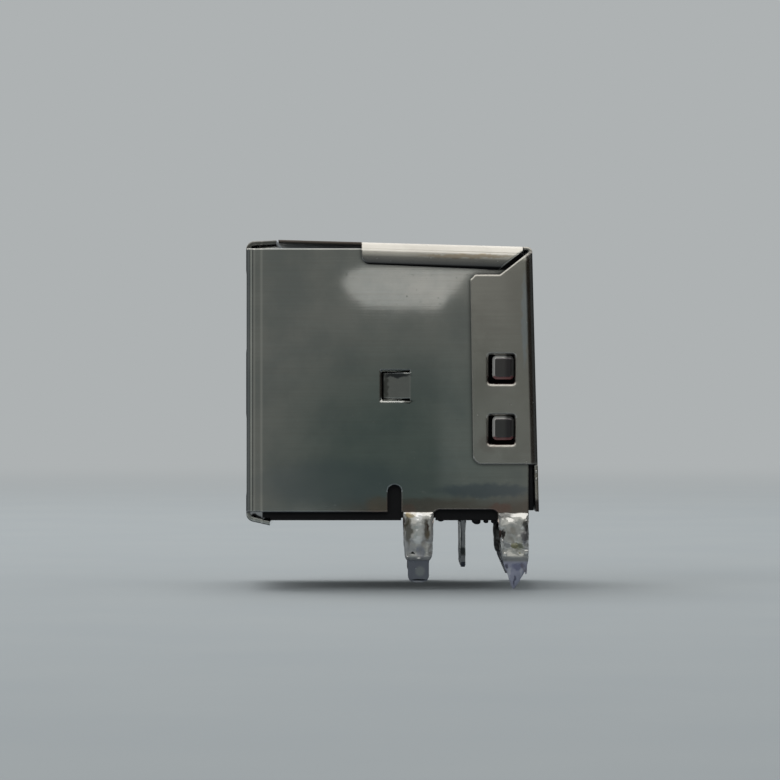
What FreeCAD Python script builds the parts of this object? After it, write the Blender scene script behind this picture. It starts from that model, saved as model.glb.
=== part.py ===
import FreeCAD, Part
import math
import operator
import os
from types import SimpleNamespace

import Sketcher
from FreeCAD import Vector

# Two-storey receptacle for a printed circuit board, removed from its board.
# Frame: X across the two ports, Y from the mouth to the rear, Z up from the board.
# The origin is on the board's face, midway between the two front shell legs.
# All lengths are millimetres. "Centre line" below is that of the two front legs.

SIZES = [
    # The front shell, one folded sheet with the face, both walls and four legs
    ("shell_width", 13.1, "outside width over the two walls"),
    ("sheet", 0.25, "thickness of the front shell's sheet"),
    ("bend", 0.25, "inside radius of a fold in the front shell"),
    ("face_reach", 10.33, "centre line to the face"),
    ("wall_bottom", 0.5, "height of the walls' lower edge over the board"),
    ("wall_over", 1.21, "upper port's top edge to the walls' upper edge"),
    ("wall_step", 0.3, "how much lower that edge is under the cover"),
    ("step_back", 0.18, "how much shorter the walls are at their upper rear corners"),
    ("step_depth", 4.4, "how far down the walls are that much shorter"),
    ("mouth_band", 0.95, "length of the drawn-in band behind the face"),
    ("mouth_draw", 0.05, "how far that band is drawn in at each side"),
    ("lip_inset", 0.55, "a wall's outside to the end of a lip"),
    ("lip_over", 0.44, "walls' upper edge to the upper lip at its fold"),
    ("top_lip_reach", 1.8, "length of the upper lip"),
    ("top_lip_rise", 0.08, "how far the upper lip rises towards the rear"),
    ("low_lip_reach", 1.42, "length of the lower lip"),
    ("low_lip_sag", 0.32, "how far the lower lip falls towards the rear"),
    # The two ports cut in the face
    ("port_side", 0.35, "a wall's outside to the side of a port"),
    ("port_height", 5.12, "height of a port"),
    ("port_corner", 0.4, "corner radius of a port"),
    ("lower_port_z", 1.35, "height of the lower port's bottom edge"),
    ("port_pitch", 8.6, "lower port to upper port"),
    ("finger_width", 2.0, "width of a spring finger"),
    ("finger_gap", 0.15, "slot beside a spring finger"),
    ("finger_root", 0.45, "depth of that slot past the port's edge"),
    ("finger_start", 1.15, "face to where a finger starts to slope"),
    ("finger_slope", 2.44, "length of a finger's slope up to its crown"),
    ("finger_tip", 1.01, "length of a finger's tip behind its crown"),
    ("finger_turn", 1.0, "centre-line radius of a finger's turns"),
    ("finger_crown", 0.45, "how far a finger's crown stands into the port"),
    ("top_finger_x", 4.35, "offset of the fingers over a port"),
    ("low_finger_x", 1.7, "offset of the fingers under a port"),
    # Lances, snaps and slots in the walls
    ("lance_reach", 2.12, "centre line to a lance's free end"),
    ("lance_root", 0.5, "centre line to a lance's root"),
    ("lance_offset", 0.14, "the shelf's middle to a lance's middle"),
    ("lance_height", 1.56, "height of a lance"),
    ("lance_cut", 0.06, "width of the cut round a lance"),
    ("lance_roll", 0.12, "rolled edge round a lance's cut"),
    ("lance_drop", 0.32, "how far a lance's free end is pressed in"),
    ("snap_inset", 1.53, "walls' rear edges to the middle of the snap bumps"),
    ("snap_z", 5.53, "height of the lower snap bump"),
    ("snap_pitch", 3.63, "lower snap bump to upper snap bump"),
    ("snap_length", 1.3, "length of a snap bump"),
    ("snap_height", 1.44, "height of a snap bump"),
    ("snap_rise", 0.24, "how far a snap bump stands out"),
    ("snap_corner", 0.28, "corner radius of a snap bump"),
    ("snap_edge", 0.16, "bevel round the crest of a snap bump"),
    ("slot_y", 1.43, "centre line to the relief slots before the front legs"),
    ("slot_width", 0.84, "width of a relief slot"),
    ("slot_top", 2.13, "height of a relief slot's round end"),
    # Shell legs
    ("leg_width", 1.84, "width of a leg at the wall"),
    ("leg_pitch", 5.68, "front leg to rear leg"),
    ("leg_rise", 0.15, "how much higher the walls' lower edge is between the legs"),
    ("leg_fillet", 0.35, "radius between that edge and a leg"),
    ("leg_jog", 0.15, "how far a leg is set outwards"),
    ("leg_neck", 0.1, "height where a leg starts to turn outwards"),
    ("leg_knee", 2.2, "depth under the board where a leg turns inwards"),
    ("leg_depth", 3.72, "depth of a leg's tip under the board"),
    ("leg_tuck", 0.26, "inward slope of a leg's tip, for each millimetre of depth"),
    ("leg_shaft_width", 1.52, "width of a leg just under the board's face"),
    ("leg_shoulder", 0.35, "depth where a leg reaches that width"),
    ("leg_low_width", 1.38, "width of a leg at its knee"),
    ("leg_tip_width", 1.26, "width of a front leg's tip"),
    ("leg_tip_start", 2.55, "depth where a leg starts its tip"),
    ("leg_point_width", 0.24, "width of a rear leg's point"),
    ("leg_tip_corner", 0.42, "corner radius of a front leg's tip"),
    ("leg_bend", 0.35, "centre-line radius of the turns in a leg"),
    # The rear cover, one folded sheet over the top and the rear
    ("cover_sheet", 0.2, "thickness of the cover's sheet"),
    ("cover_gap", 0.03, "gap between the cover's flaps and the walls"),
    ("cover_bend", 0.25, "inside radius of a fold in the cover"),
    ("corner_bend", 0.12, "inside radius of the fold between top and rear"),
    ("lip_gap", 0.15, "upper lip to the cover's front edge"),
    ("cover_back", 0.02, "gap between the walls' rear edges and the cover"),
    ("cover_over", 0.1, "walls' upper edge to the cover's top at its rear"),
    ("cover_rise", 0.42, "how much higher the cover's front edge springs"),
    ("cover_flare", 0.4, "how far the cover's lower edge springs back"),
    ("cover_bottom", 0.53, "height of the cover's lower edge over the board"),
    ("top_flap_front", 3.4, "centre line to the upper flap's front edge"),
    ("top_flap_depth", 1.02, "cover's top at its rear to the upper flap's front corner"),
    ("top_flap_fall", 0.36, "how far that edge falls towards the rear"),
    ("flap_corner", 0.5, "corner radius of the flaps"),
    ("mitre_reach", 2.02, "cover's rear face to the start of the mitre"),
    ("mitre_lean", 1.28, "length of the mitre for each millimetre of its height"),
    ("mitre_gap", 0.08, "gap between the two flaps"),
    ("side_flap_reach", 3.72, "cover's rear face to the rear flap's front edge"),
    ("side_flap_lean", 0.18, "how far that edge leans back towards the board"),
    ("side_flap_drop", 1.67, "cover's top to the rear flap's upper edge"),
    ("side_flap_low", 3.35, "height of the rear flap's lower edge"),
    ("side_flap_cut", 0.3, "size of the rear flap's bevelled corner"),
    ("window_side", 0.13, "clearance before and behind a snap bump in its window"),
    ("window_edge", 0.14, "clearance over and under a snap bump in its window"),
    ("window_play", 0.1, "how far the windows sit before and under the bumps' middle"),
    ("window_roll", 0.1, "rolled edge round a window"),
    ("window_corner", 0.15, "corner radius of a window"),
    ("notch_reach", 0.57, "cover's rear face to the front of its corner notches"),
    ("notch_depth", 0.33, "depth of the corner notches"),
    # The insulating housing with its two tongues
    ("fit", 0.03, "clearance of the housing in the front shell"),
    ("standoff", 0.15, "height of the housing's feet"),
    ("foot_length", 8.0, "length of the foot between the front legs"),
    ("foot_width", 1.2, "width of the foot between the front legs"),
    ("rail", 1.1, "width of the feet along the sides"),
    ("cheek_foot", 0.9, "width of the feet under the cheeks"),
    ("foot_clear", 0.11, "a leg to the feet beside it"),
    ("tongue_side", 0.65, "side of a port to the side of its tongue"),
    ("tongue_thick", 1.84, "thickness of a tongue"),
    ("tongue_space", 0.82, "space between a tongue and the port's upper edge"),
    ("tongue_setback", 0.45, "face to a tongue's tip"),
    ("tongue_nose", 0.4, "size of the bevels at a tongue's tip"),
    ("back_wall", 2.0, "centre line to the ports' back wall"),
    ("back_thick", 2.7, "thickness of that wall"),
    ("floor_setback", 0.98, "face to the front of floor, shelf and roof"),
    ("floor_thick", 0.85, "thickness of the floor"),
    ("shelf_thick", 2.2, "thickness of the shelf between the ports"),
    ("roof_thick", 0.5, "thickness of the roof"),
    ("cheek", 1.0, "thickness of the cheeks behind the back wall"),
    ("chamber_over", 1.49, "lower tongue's contact face to the chamber's top"),
    ("rear_inset", 0.2, "walls' rear edges to the cheeks' rear edges"),
    # Contacts and the locator that holds their tails
    ("row_y", 2.71, "centre line to the lower contacts' tails"),
    ("row_pitch", 2.62, "lower contacts' tails to upper contacts' tails"),
    ("inner_x", 1.0, "offset of the two inner contacts"),
    ("outer_x", 3.5, "offset of the two outer contacts"),
    ("contact_sheet", 0.25, "thickness of a contact"),
    ("beam_width", 0.9, "width of a contact's beam"),
    ("tail_width", 0.6, "width of a contact's tail"),
    ("tail_depth", 2.9, "depth of a tail's end under the board"),
    ("tail_shoulder", 1.9, "height where a contact narrows to its tail"),
    ("contact_bend", 0.45, "centre-line radius of a contact's folds"),
    ("contact_inset", 0.5, "tongue's contact face to a beam's centre line"),
    ("contact_crown", 0.4, "how far a contact's crown stands out of the tongue"),
    ("crown_setback", 2.68, "a tongue's tip to the contacts' crowns"),
    ("crown_run", 1.7, "length of the slopes beside a crown"),
    ("groove_depth", 1.05, "depth of the grooves in a tongue"),
    ("groove_gap", 0.06, "clearance beside a contact in its groove"),
    ("locator_low", 0.1, "height of the locator's underside over the board"),
    ("locator_thick", 1.4, "thickness of the tails' locator"),
    ("locator_lead", 1.06, "locator's front edge to the lower contacts' tails"),
    ("locator_gap", 0.04, "clearance round the locator"),
    # Solder left on the legs and the tails
    ("solder_start", 0.3, "depth where the solder on a leg starts"),
    ("solder_end", 2.38, "depth where the solder on a leg ends"),
    ("solder_coat", 0.15, "thickness of the solder on a leg"),
    ("solder_edge", 0.05, "thickness of that solder at its edges"),
    ("peak_depth", 4.15, "depth of the drawn solder peak's point"),
    ("peak_width", 0.15, "width of the drawn solder beside the leg's tip"),
    ("point_width", 0.22, "width of the peak's blunt point"),
    ("point_thick", 0.1, "thickness of the peak's blunt point"),
    ("tail_solder_start", 0.15, "depth where the solder on a tail starts"),
    ("tail_solder_end", 2.3, "depth where the solder on a tail ends"),
    ("tail_collar", 0.14, "thickness of the solder at the top of a tail"),
    ("tail_collar_run", 0.75, "length of the slope under that"),
    ("tail_coat", 0.06, "thickness of the solder lower on a tail"),
]


class Size:
    """A length that carries its expression in the sheet along with its number."""

    def __init__(self, text, number):
        self.text = text
        self.number = number

    def __add__(self, other):
        return joined(self, "+", other, operator.add)

    def __radd__(self, other):
        return joined(other, "+", self, operator.add)

    def __sub__(self, other):
        return joined(self, "-", other, operator.sub)

    def __rsub__(self, other):
        return joined(other, "-", self, operator.sub)

    def __mul__(self, other):
        return joined(self, "*", other, operator.mul)

    def __rmul__(self, other):
        return joined(other, "*", self, operator.mul)

    def __truediv__(self, other):
        return joined(self, "/", other, operator.truediv)

    def __neg__(self):
        return Size("(-%s)" % self.text, -self.number)


def as_size(thing):
    return thing if isinstance(thing, Size) else Size("(%s)" % thing, float(thing))


def joined(left, sign, right, work):
    left, right = as_size(left), as_size(right)
    text = "(%s %s %s)" % (left.text, sign, right.text)
    return Size(text, work(left.number, right.number))


s = SimpleNamespace(
    **{alias: Size("Sizes." + alias, number) for alias, number, meaning in SIZES}
)
HALF = s.shell_width / 2
INSIDE = HALF - s.sheet
FRONT = -s.face_reach
WALL_END = s.leg_pitch + s.leg_width / 2
PORTS = (s.lower_port_z, s.lower_port_z + s.port_pitch)
PORT_WIDTH = s.shell_width - 2 * s.port_side
WALL_TOP = PORTS[1] + s.port_height + s.wall_over
LIP_WIDTH = s.shell_width - 2 * s.lip_inset
SHELF = s.lower_port_z + (s.port_pitch + s.port_height) / 2
LANCE_Z = SHELF - s.lance_offset
SNAP_Y = WALL_END - s.snap_inset
SNAPS = (s.snap_z, s.snap_z + s.snap_pitch)
ROWS = (s.row_y, s.row_y + s.row_pitch)
COLUMNS = (-s.outer_x, -s.inner_x, s.inner_x, s.outer_x)
LEG_X = HALF - s.sheet / 2 + s.leg_jog
FLAP_INSIDE = HALF + s.cover_gap
FLAP_OUTSIDE = FLAP_INSIDE + s.cover_sheet
COVER_FRONT = FRONT + s.top_lip_reach + s.lip_gap
COVER_REAR = WALL_END + s.cover_back + s.cover_sheet
COVER_TOP = WALL_TOP + s.cover_over
CORE = INSIDE - s.fit
CHAMBER = CORE - s.cheek
CORE_REAR = WALL_END - s.rear_inset
TONGUE_TIP = FRONT + s.tongue_setback
CROWN = TONGUE_TIP + s.crown_setback
ROUND_END = 0.49  # radius of a slot's end, for each millimetre of its width
BEVEL = 0.3  # bevel round the solder, for each millimetre of its thickness

doc = FreeCAD.newDocument("receptacle")
sheet = doc.addObject("Spreadsheet::Sheet", "Sizes")


def fill_sheet():
    """Write every driving dimension to the sheet, with its meaning and its alias."""
    for row, (alias, number, meaning) in enumerate(SIZES, start=1):
        sheet.set("A%d" % row, meaning)
        sheet.set("B%d" % row, str(number))
        sheet.setAlias("B%d" % row, alias)
    doc.recompute()


def tie(thing, prop, size):
    thing.setExpression(prop, as_size(size).text)


def new_body(label):
    body = doc.addObject("PartDesign::Body", label)
    body.Label = label
    return body


def origin_feature(body, role):
    return next(f for f in body.Origin.OriginFeatures if f.Role == role)


def new_sketch(body, name, plane, offset=0):
    """A sketch on one of the body's own origin planes, moved along its normal."""
    sketch = body.newObject("Sketcher::SketchObject", name)
    sketch.AttachmentSupport = [(origin_feature(body, plane), "")]
    sketch.MapMode = "FlatFace"
    tie(sketch, "AttachmentOffset.Base.z", offset)
    return sketch


def fix(sketch, kind, *place_and_size):
    """Add a dimension to a sketch, bound to the sheet."""
    *place, size = place_and_size
    size = as_size(size)
    index = sketch.addConstraint(Sketcher.Constraint(kind, *place, size.number))
    tie(sketch, "Constraints[%d]" % index, size)


def fix_point(sketch, geometry, end, corner):
    fix(sketch, "DistanceX", geometry, end, corner[0])
    fix(sketch, "DistanceY", geometry, end, corner[1])


def vector(corner):
    return Vector(as_size(corner[0]).number, as_size(corner[1]).number, 0)


def end_near(sketch, curve, point):
    """1 or 2, whichever end of a curve is nearer the point."""
    start, finish = sketch.getPoint(curve, 1), sketch.getPoint(curve, 2)
    return 1 if (start - point).Length < (finish - point).Length else 2


def rounded(before, corner, after, radius):
    """The two tangent points and the arc that round a corner."""
    back = (before - corner).normalize()
    on = (after - corner).normalize()
    half = math.acos(max(-1.0, min(1.0, back.dot(on)))) / 2
    first = corner + back * (radius / math.tan(half))
    last = corner + on * (radius / math.tan(half))
    inward = (back + on).normalize()
    nearest = corner + inward * (radius / math.sin(half) - radius)
    return first, last, Part.Arc(first, nearest, last)


def draw(sketch, corners, closed=True):
    """Lines through corners, each given as (x, y) or as (x, y, radius)."""
    count = len(corners)
    spots = [vector(corner) for corner in corners]
    starts, ends, arcs = list(spots), list(spots), {}
    for i, corner in enumerate(corners):
        if len(corner) == 3:
            trio = spots[i - 1], spots[i], spots[(i + 1) % count]
            ends[i], starts[i], arcs[i] = rounded(*trio, as_size(corner[2]).number)
    runs = count if closed else count - 1
    lines = []
    for i in range(runs):
        segment = Part.LineSegment(starts[i], ends[(i + 1) % count])
        lines.append(sketch.addGeometry(segment))
    for i, corner in enumerate(corners):
        into = lines[i - 1] if closed or i > 0 else None
        out = lines[i] if i < runs else None
        if i in arcs:
            round_off(sketch, into, out, corner, arcs[i], ends[i], starts[i])
        elif into is None:
            fix_point(sketch, out, 1, corner)
        elif out is None:
            fix_point(sketch, into, 2, corner)
        else:
            sketch.addConstraint(Sketcher.Constraint("Coincident", into, 2, out, 1))
            fix_point(sketch, out, 1, corner)


def round_off(sketch, into, out, corner, arc, first, last):
    """Join two lines by a tangent arc, with the sharp corner held in its place."""
    curve = sketch.addGeometry(arc)
    start, end = end_near(sketch, curve, first), end_near(sketch, curve, last)
    sketch.addConstraint(Sketcher.Constraint("Tangent", into, 2, curve, start))
    sketch.addConstraint(Sketcher.Constraint("Tangent", out, 1, curve, end))
    fix(sketch, "Radius", curve, corner[2])
    spot = sketch.addGeometry(Part.Point(vector(corner)), True)
    sketch.addConstraint(Sketcher.Constraint("PointOnObject", spot, 1, into))
    sketch.addConstraint(Sketcher.Constraint("PointOnObject", spot, 1, out))
    fix_point(sketch, spot, 1, corner)


def box(x, y, width, height, *radius):
    """Corners of a rectangle about (x, y), rounded if a radius is given."""
    signs = ((-1, -1), (1, -1), (1, 1), (-1, 1))
    return [(x + i * width / 2, y + j * height / 2, *radius) for i, j in signs]


def span(left, right, low, high):
    """Corners of a rectangle between two abscissas and two ordinates."""
    return [(left, low), (right, low), (right, high), (left, high)]


def flipped(corners):
    """The same loop on the other side of the sketch's vertical axis."""
    return [(-corner[0], *corner[1:]) for corner in corners]


def draw_pair(sketch, corners):
    draw(sketch, corners)
    draw(sketch, flipped(corners))


def extrude(kind, body, sketch, name, length, symmetric, back):
    feature = body.newObject(kind, name)
    feature.Profile = sketch
    feature.SideType = "Symmetric" if symmetric else "One side"
    feature.Reversed = back
    tie(feature, "Length", length)
    return feature


def pad(body, sketch, name, length, symmetric=False, back=False):
    return extrude("PartDesign::Pad", body, sketch, name, length, symmetric, back)


def pocket(body, sketch, name, length, symmetric=False, back=False):
    return extrude("PartDesign::Pocket", body, sketch, name, length, symmetric, back)


def pipe(body, section, path, name):
    feature = body.newObject("PartDesign::AdditivePipe", name)
    feature.Profile = section
    feature.Spine = path
    return feature


def other_side(body, features, name):
    """Repeat features on the other side of the YZ plane."""
    feature = body.newObject("PartDesign::Mirrored", name)
    feature.Originals = features
    feature.MirrorPlane = (origin_feature(body, "YZ_Plane"), [""])
    body.Tip = feature
    return feature


def dress(kind, body, base, name, test):
    """A fillet or a chamfer on the edges of a feature that pass a test."""
    doc.recompute()
    edges = base.Shape.Edges
    names = ["Edge%d" % (i + 1) for i, edge in enumerate(edges) if test(edge)]
    feature = body.newObject(kind, name)
    feature.Base = (base, names)
    return feature


def round_edges(body, base, name, radius, test):
    feature = dress("PartDesign::Fillet", body, base, name, test)
    tie(feature, "Radius", radius)
    return feature


def bevel_edges(body, base, name, size, test):
    feature = dress("PartDesign::Chamfer", body, base, name, test)
    tie(feature, "Size", size)
    return feature


def near(a, b):
    return abs(a - as_size(b).number) < 1e-4


def straight(edge, axis):
    """Whether an edge is a line that runs along an axis, or nearly so."""
    run = edge.Vertexes[-1].Point - edge.Vertexes[0].Point
    line = abs(edge.Length - run.Length) < 1e-6
    return line and abs(run.dot(axis)) > 0.99 * run.Length


# The front shell


def shell_wrap(body):
    """Face and both walls, folded from one strip, as seen from above."""
    drawn = HALF - s.mouth_draw
    band = FRONT + s.mouth_band
    right = [
        (drawn, FRONT, s.bend + s.sheet),
        (HALF, band),
        (HALF, WALL_END),
        (INSIDE, WALL_END),
        (INSIDE, band),
        (drawn - s.sheet, FRONT + s.sheet, s.bend),
    ]
    plan = new_sketch(body, "wrap_plan", "XY_Plane", s.wall_bottom)
    draw(plan, right + flipped(right[::-1]))
    pad(body, plan, "wrap", WALL_TOP - s.wall_bottom)


def wall_steps(body):
    """The walls' upper rear corners are lower and shorter, clear of the cover."""
    top, step = WALL_TOP + s.sheet, WALL_TOP - s.wall_step
    lower, end = step - s.step_depth, WALL_END - s.step_back
    start = -s.top_flap_front + s.flap_corner
    profile = new_sketch(body, "step_profile", "YZ_Plane")
    beyond = WALL_END + s.sheet
    corners = [(start, top), (start, step), (end, step), (end, lower)]
    draw(profile, corners + [(beyond, lower), (beyond, top)])
    pocket(body, profile, "wall_steps", s.shell_width + s.sheet, symmetric=True)


def shell_lips(body):
    """The lips that fold back over the top and under the bottom of the face."""
    inner, fold = FRONT + s.sheet, s.bend + s.sheet
    high, rise = WALL_TOP + s.lip_over, s.top_lip_rise
    root, end = WALL_TOP - 2 * s.sheet, FRONT + s.top_lip_reach
    upper = new_sketch(body, "upper_lip_section", "YZ_Plane")
    outside = [(FRONT, root), (FRONT, high, fold), (end, high + rise)]
    under = [(end, high + rise - s.sheet), (inner, high - s.sheet, s.bend)]
    draw(upper, outside + under + [(inner, root)])
    pad(body, upper, "upper_lip", LIP_WIDTH, symmetric=True)
    root, end = s.wall_bottom + fold, FRONT + s.low_lip_reach
    lower = new_sketch(body, "lower_lip_section", "YZ_Plane")
    outside = [(FRONT, root), (FRONT, 0, fold), (end, -s.low_lip_sag)]
    over = [(end, s.sheet - s.low_lip_sag), (inner, s.sheet, s.bend)]
    draw(lower, outside + over + [(inner, root)])
    pad(body, lower, "lower_lip", LIP_WIDTH, symmetric=True)


def shell_ports(body):
    """Both ports, with the slots beside their spring fingers."""
    depth = s.sheet + s.bend
    mouths = new_sketch(body, "port_outlines", "XZ_Plane", s.face_reach)
    reliefs = new_sketch(body, "finger_slots", "XZ_Plane", s.face_reach)
    width = s.finger_width + 2 * s.finger_gap
    tall = s.finger_root + s.port_corner
    for floor in PORTS:
        middle = floor + s.port_height / 2
        draw(mouths, box(0, middle, PORT_WIDTH, s.port_height, s.port_corner))
        low = floor + s.port_corner - tall / 2
        high = floor + s.port_height - s.port_corner + tall / 2
        draw_pair(reliefs, box(s.top_finger_x, high, width, tall))
        draw_pair(reliefs, box(s.low_finger_x, low, width, tall))
    pocket(body, mouths, "ports", depth)
    pocket(body, reliefs, "finger_reliefs", depth)


def shell_finger(body, name, x, edge, sign):
    """One spring finger: out of the face, over its crown and back to its tip."""
    middle = FRONT + s.sheet / 2
    level = edge + sign * s.sheet / 2
    root = edge + sign * (s.finger_root + s.sheet)
    crown = edge - sign * (s.finger_crown - s.sheet / 2)
    start = FRONT + s.finger_start
    top = start + s.finger_slope
    section = new_sketch(body, name + "_section", "XY_Plane", root)
    draw(section, box(x, middle, s.finger_width, s.sheet))
    path = new_sketch(body, name + "_path", "YZ_Plane")
    corners = [
        (middle, root),
        (middle, level, s.bend + s.sheet / 2),
        (start, level, s.finger_turn),
        (top, crown, s.finger_turn),
        (top + s.finger_tip, level),
    ]
    draw(path, corners, closed=False)
    return pipe(body, section, path, name)


def shell_fingers(body):
    """Four fingers to a port, two over it and two under it."""
    made = []
    for level, floor in zip(("lower", "upper"), PORTS):
        over = floor + s.port_height
        made.append(shell_finger(body, level + "_over", s.top_finger_x, over, 1))
        made.append(shell_finger(body, level + "_under", s.low_finger_x, floor, -1))
    other_side(body, made, "fingers_mirrored")


def shell_lances(body):
    """A lance in each wall, cut on three sides and pressed in at its front end."""
    low = LANCE_Z - s.lance_height / 2
    high = LANCE_Z + s.lance_height / 2
    outline = new_sketch(body, "lance_outline", "YZ_Plane")
    left, right = -s.lance_reach - s.lance_cut, -s.lance_root
    draw(outline, span(left, right, low - s.lance_cut, high + s.lance_cut))
    pocket(body, outline, "lance_windows", s.shell_width + s.sheet, symmetric=True)
    tab = [
        (HALF, -s.lance_root + s.sheet),
        (INSIDE, -s.lance_root + s.sheet),
        (INSIDE, -s.lance_root),
        (INSIDE - s.lance_drop, -s.lance_reach),
        (HALF - s.lance_drop, -s.lance_reach),
        (HALF, -s.lance_root),
    ]
    plan = new_sketch(body, "lance_plan", "XY_Plane", low)
    draw_pair(plan, tab)
    lances = pad(body, plan, "lances", s.lance_height)
    ends = (low - s.lance_cut).number, (high + s.lance_cut).number

    def on_cut(edge):
        bounds = edge.BoundBox
        level = near(max(abs(bounds.XMin), abs(bounds.XMax)), HALF) and bounds.XLength < 1e-6
        across = any(near(bounds.ZMin, z) and near(bounds.ZMax, z) for z in ends)
        front = near(bounds.YMin, left) and near(bounds.YMax, left)
        return level and (across or front)

    bevel_edges(body, lances, "lance_rolls", s.lance_roll, on_cut)


def shell_slots(body):
    """The relief slot in each wall's lower edge, just before the front leg."""
    left, right = -s.slot_y - s.slot_width / 2, -s.slot_y + s.slot_width / 2
    below, end = s.wall_bottom - s.sheet, ROUND_END * s.slot_width
    outline = new_sketch(body, "slot_outline", "YZ_Plane")
    corners = [(left, below), (right, below)]
    draw(outline, corners + [(right, s.slot_top, end), (left, s.slot_top, end)])
    pocket(body, outline, "slots", s.shell_width + s.sheet, symmetric=True)


def shell_snaps(body):
    """Two bumps in each wall that hold the cover's windows, hollow on the inside."""
    outline = new_sketch(body, "snap_outline", "YZ_Plane", HALF - s.sheet / 2)
    hollow = new_sketch(body, "snap_hollow", "YZ_Plane", INSIDE)
    for z in SNAPS:
        draw(outline, box(SNAP_Y, z, s.snap_length, s.snap_height, s.snap_corner))
        length, height = s.snap_length - 2 * s.sheet, s.snap_height - 2 * s.sheet
        draw(hollow, box(SNAP_Y, z, length, height))
    bumps = pad(body, outline, "snaps", s.snap_rise + s.sheet / 2)
    hollows = pocket(body, hollow, "snap_hollows", s.snap_rise, back=True)
    both = other_side(body, [bumps, hollows], "snaps_mirrored")
    crest = HALF + s.snap_rise

    def on_crest(edge):
        bounds = edge.BoundBox
        reach = max(abs(bounds.XMin), abs(bounds.XMax))
        return near(reach, crest) and bounds.XLength < 1e-6

    return bevel_edges(body, both, "snap_crests", s.snap_edge, on_crest)


def leg_at(z):
    """Offset of a leg's middle at a height under its knee."""
    return LEG_X + s.leg_tuck * (z + s.leg_knee)


def shell_leg(body, name, y):
    """One leg: out of the wall, set outwards, through the board and tucked in."""
    wall, end = HALF - s.sheet / 2, -s.leg_depth - s.sheet
    start = s.wall_bottom + s.sheet
    section = new_sketch(body, name + "_section", "XY_Plane", start)
    draw(section, box(wall, y, s.sheet, s.leg_width))
    path = new_sketch(body, name + "_path", "XZ_Plane", -y)
    corners = [
        (wall, start),
        (wall, s.leg_neck, s.leg_bend),
        (LEG_X, s.leg_neck - 2 * s.leg_jog, s.leg_bend),
        (LEG_X, -s.leg_knee, s.leg_bend),
        (leg_at(end), end),
    ]
    draw(path, corners, closed=False)
    return pipe(body, section, path, name)


def leg_trims(body):
    """Narrow all four legs: round tips at the front, pointed ones at the rear."""
    outline = new_sketch(body, "leg_outlines", "YZ_Plane")
    past, top = -s.leg_depth - 3 * s.sheet, -s.leg_neck
    half = [
        (s.leg_width / 2 + s.sheet, past),
        (s.leg_width / 2 + s.sheet, top),
        (s.leg_width / 2, top),
        (s.leg_shaft_width / 2, -s.leg_shoulder),
        (s.leg_low_width / 2, -s.leg_knee),
        (s.leg_tip_width / 2, -s.leg_tip_start),
    ]
    tip = s.leg_tip_width / 2, -s.leg_depth, s.leg_tip_corner
    point = s.leg_point_width / 2, -s.leg_depth
    for y, end in ((0, tip), (s.leg_pitch, point)):
        loop = half + [end]
        draw(outline, [(y + a, *rest) for a, *rest in loop + flipped(loop[::-1])])
    reach = s.shell_width + 4 * s.leg_jog + 2 * s.sheet
    return pocket(body, outline, "leg_trims", reach, symmetric=True)


def shell_legs(body):
    """Four legs, with the walls' lower edge higher between them and rounded into them."""
    legs = {"front_leg": 0, "rear_leg": s.leg_pitch}
    made = [shell_leg(body, name, y) for name, y in legs.items()]
    other_side(body, made, "legs_mirrored")
    leg_trims(body)
    left, right = s.leg_width / 2, s.leg_pitch - s.leg_width / 2
    below, over = s.wall_bottom - s.sheet, s.wall_bottom + s.leg_rise
    outline = new_sketch(body, "arch_outline", "YZ_Plane")
    corners = [(left, below), (right, below)]
    rounded_ends = [(right, over, s.leg_fillet), (left, over, s.leg_fillet)]
    draw(outline, corners + rounded_ends)
    pocket(body, outline, "arches", s.shell_width + s.sheet, symmetric=True)


def front_shell():
    body = new_body("front_shell")
    shell_wrap(body)
    wall_steps(body)
    shell_lips(body)
    shell_ports(body)
    shell_fingers(body)
    shell_lances(body)
    shell_slots(body)
    shell_snaps(body)
    shell_legs(body)
    return body


# The rear cover


def cover_top_at(y):
    """Height of the cover's upper face, which rises towards the front."""
    return COVER_TOP + s.cover_rise * (COVER_REAR - y) / (COVER_REAR - COVER_FRONT)


def cover_rear_at(z):
    """Place of the cover's rear face, which springs back towards the board."""
    return COVER_REAR + s.cover_flare * (COVER_TOP - z) / (COVER_TOP - s.cover_bottom)


def cover_plates(body):
    """The top and rear plates where they carry flaps, one bent strip."""
    thick = s.cover_sheet
    front, low = -s.top_flap_front, s.side_flap_low
    section = new_sketch(body, "plate_section", "YZ_Plane")
    corners = [
        (front, cover_top_at(front)),
        (COVER_REAR, COVER_TOP, s.corner_bend + thick),
        (cover_rear_at(low), low),
        (cover_rear_at(low) - thick, low),
        (COVER_REAR - thick, COVER_TOP - thick, s.corner_bend),
        (front, cover_top_at(front) - thick),
    ]
    draw(section, corners)
    pad(body, section, "plates", 2 * FLAP_OUTSIDE, symmetric=True)


def cover_flaps(body):
    """The two flaps on each side, which meet at a mitre."""
    half = s.cover_sheet / 2
    outline = new_sketch(body, "flap_outline", "YZ_Plane", FLAP_INSIDE)
    front, edge = -s.top_flap_front, COVER_TOP - s.top_flap_depth
    mitre, end = COVER_REAR - s.mitre_reach, edge - s.top_flap_fall
    top = COVER_TOP - half
    upper = [
        (front, cover_top_at(front) - half),
        (front, edge, s.flap_corner),
        (mitre, end),
        (mitre + s.mitre_lean * (top - end), top),
    ]
    draw(outline, upper)
    low, high = s.side_flap_low, COVER_TOP - s.side_flap_drop
    front, cut = COVER_REAR - s.side_flap_reach, s.side_flap_cut
    mitre = mitre + s.mitre_gap
    peak = COVER_TOP - s.notch_depth
    lower = [
        (front + s.side_flap_lean, low, s.flap_corner),
        (front, high - cut),
        (front + cut, high),
        (mitre, high),
        (mitre + s.mitre_lean * (peak - high), peak),
        (cover_rear_at(peak) - half, peak),
        (cover_rear_at(low) - half, low),
    ]
    draw(outline, lower)
    flaps = pad(body, outline, "flaps", s.cover_sheet)
    other_side(body, [flaps], "flaps_mirrored")


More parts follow.
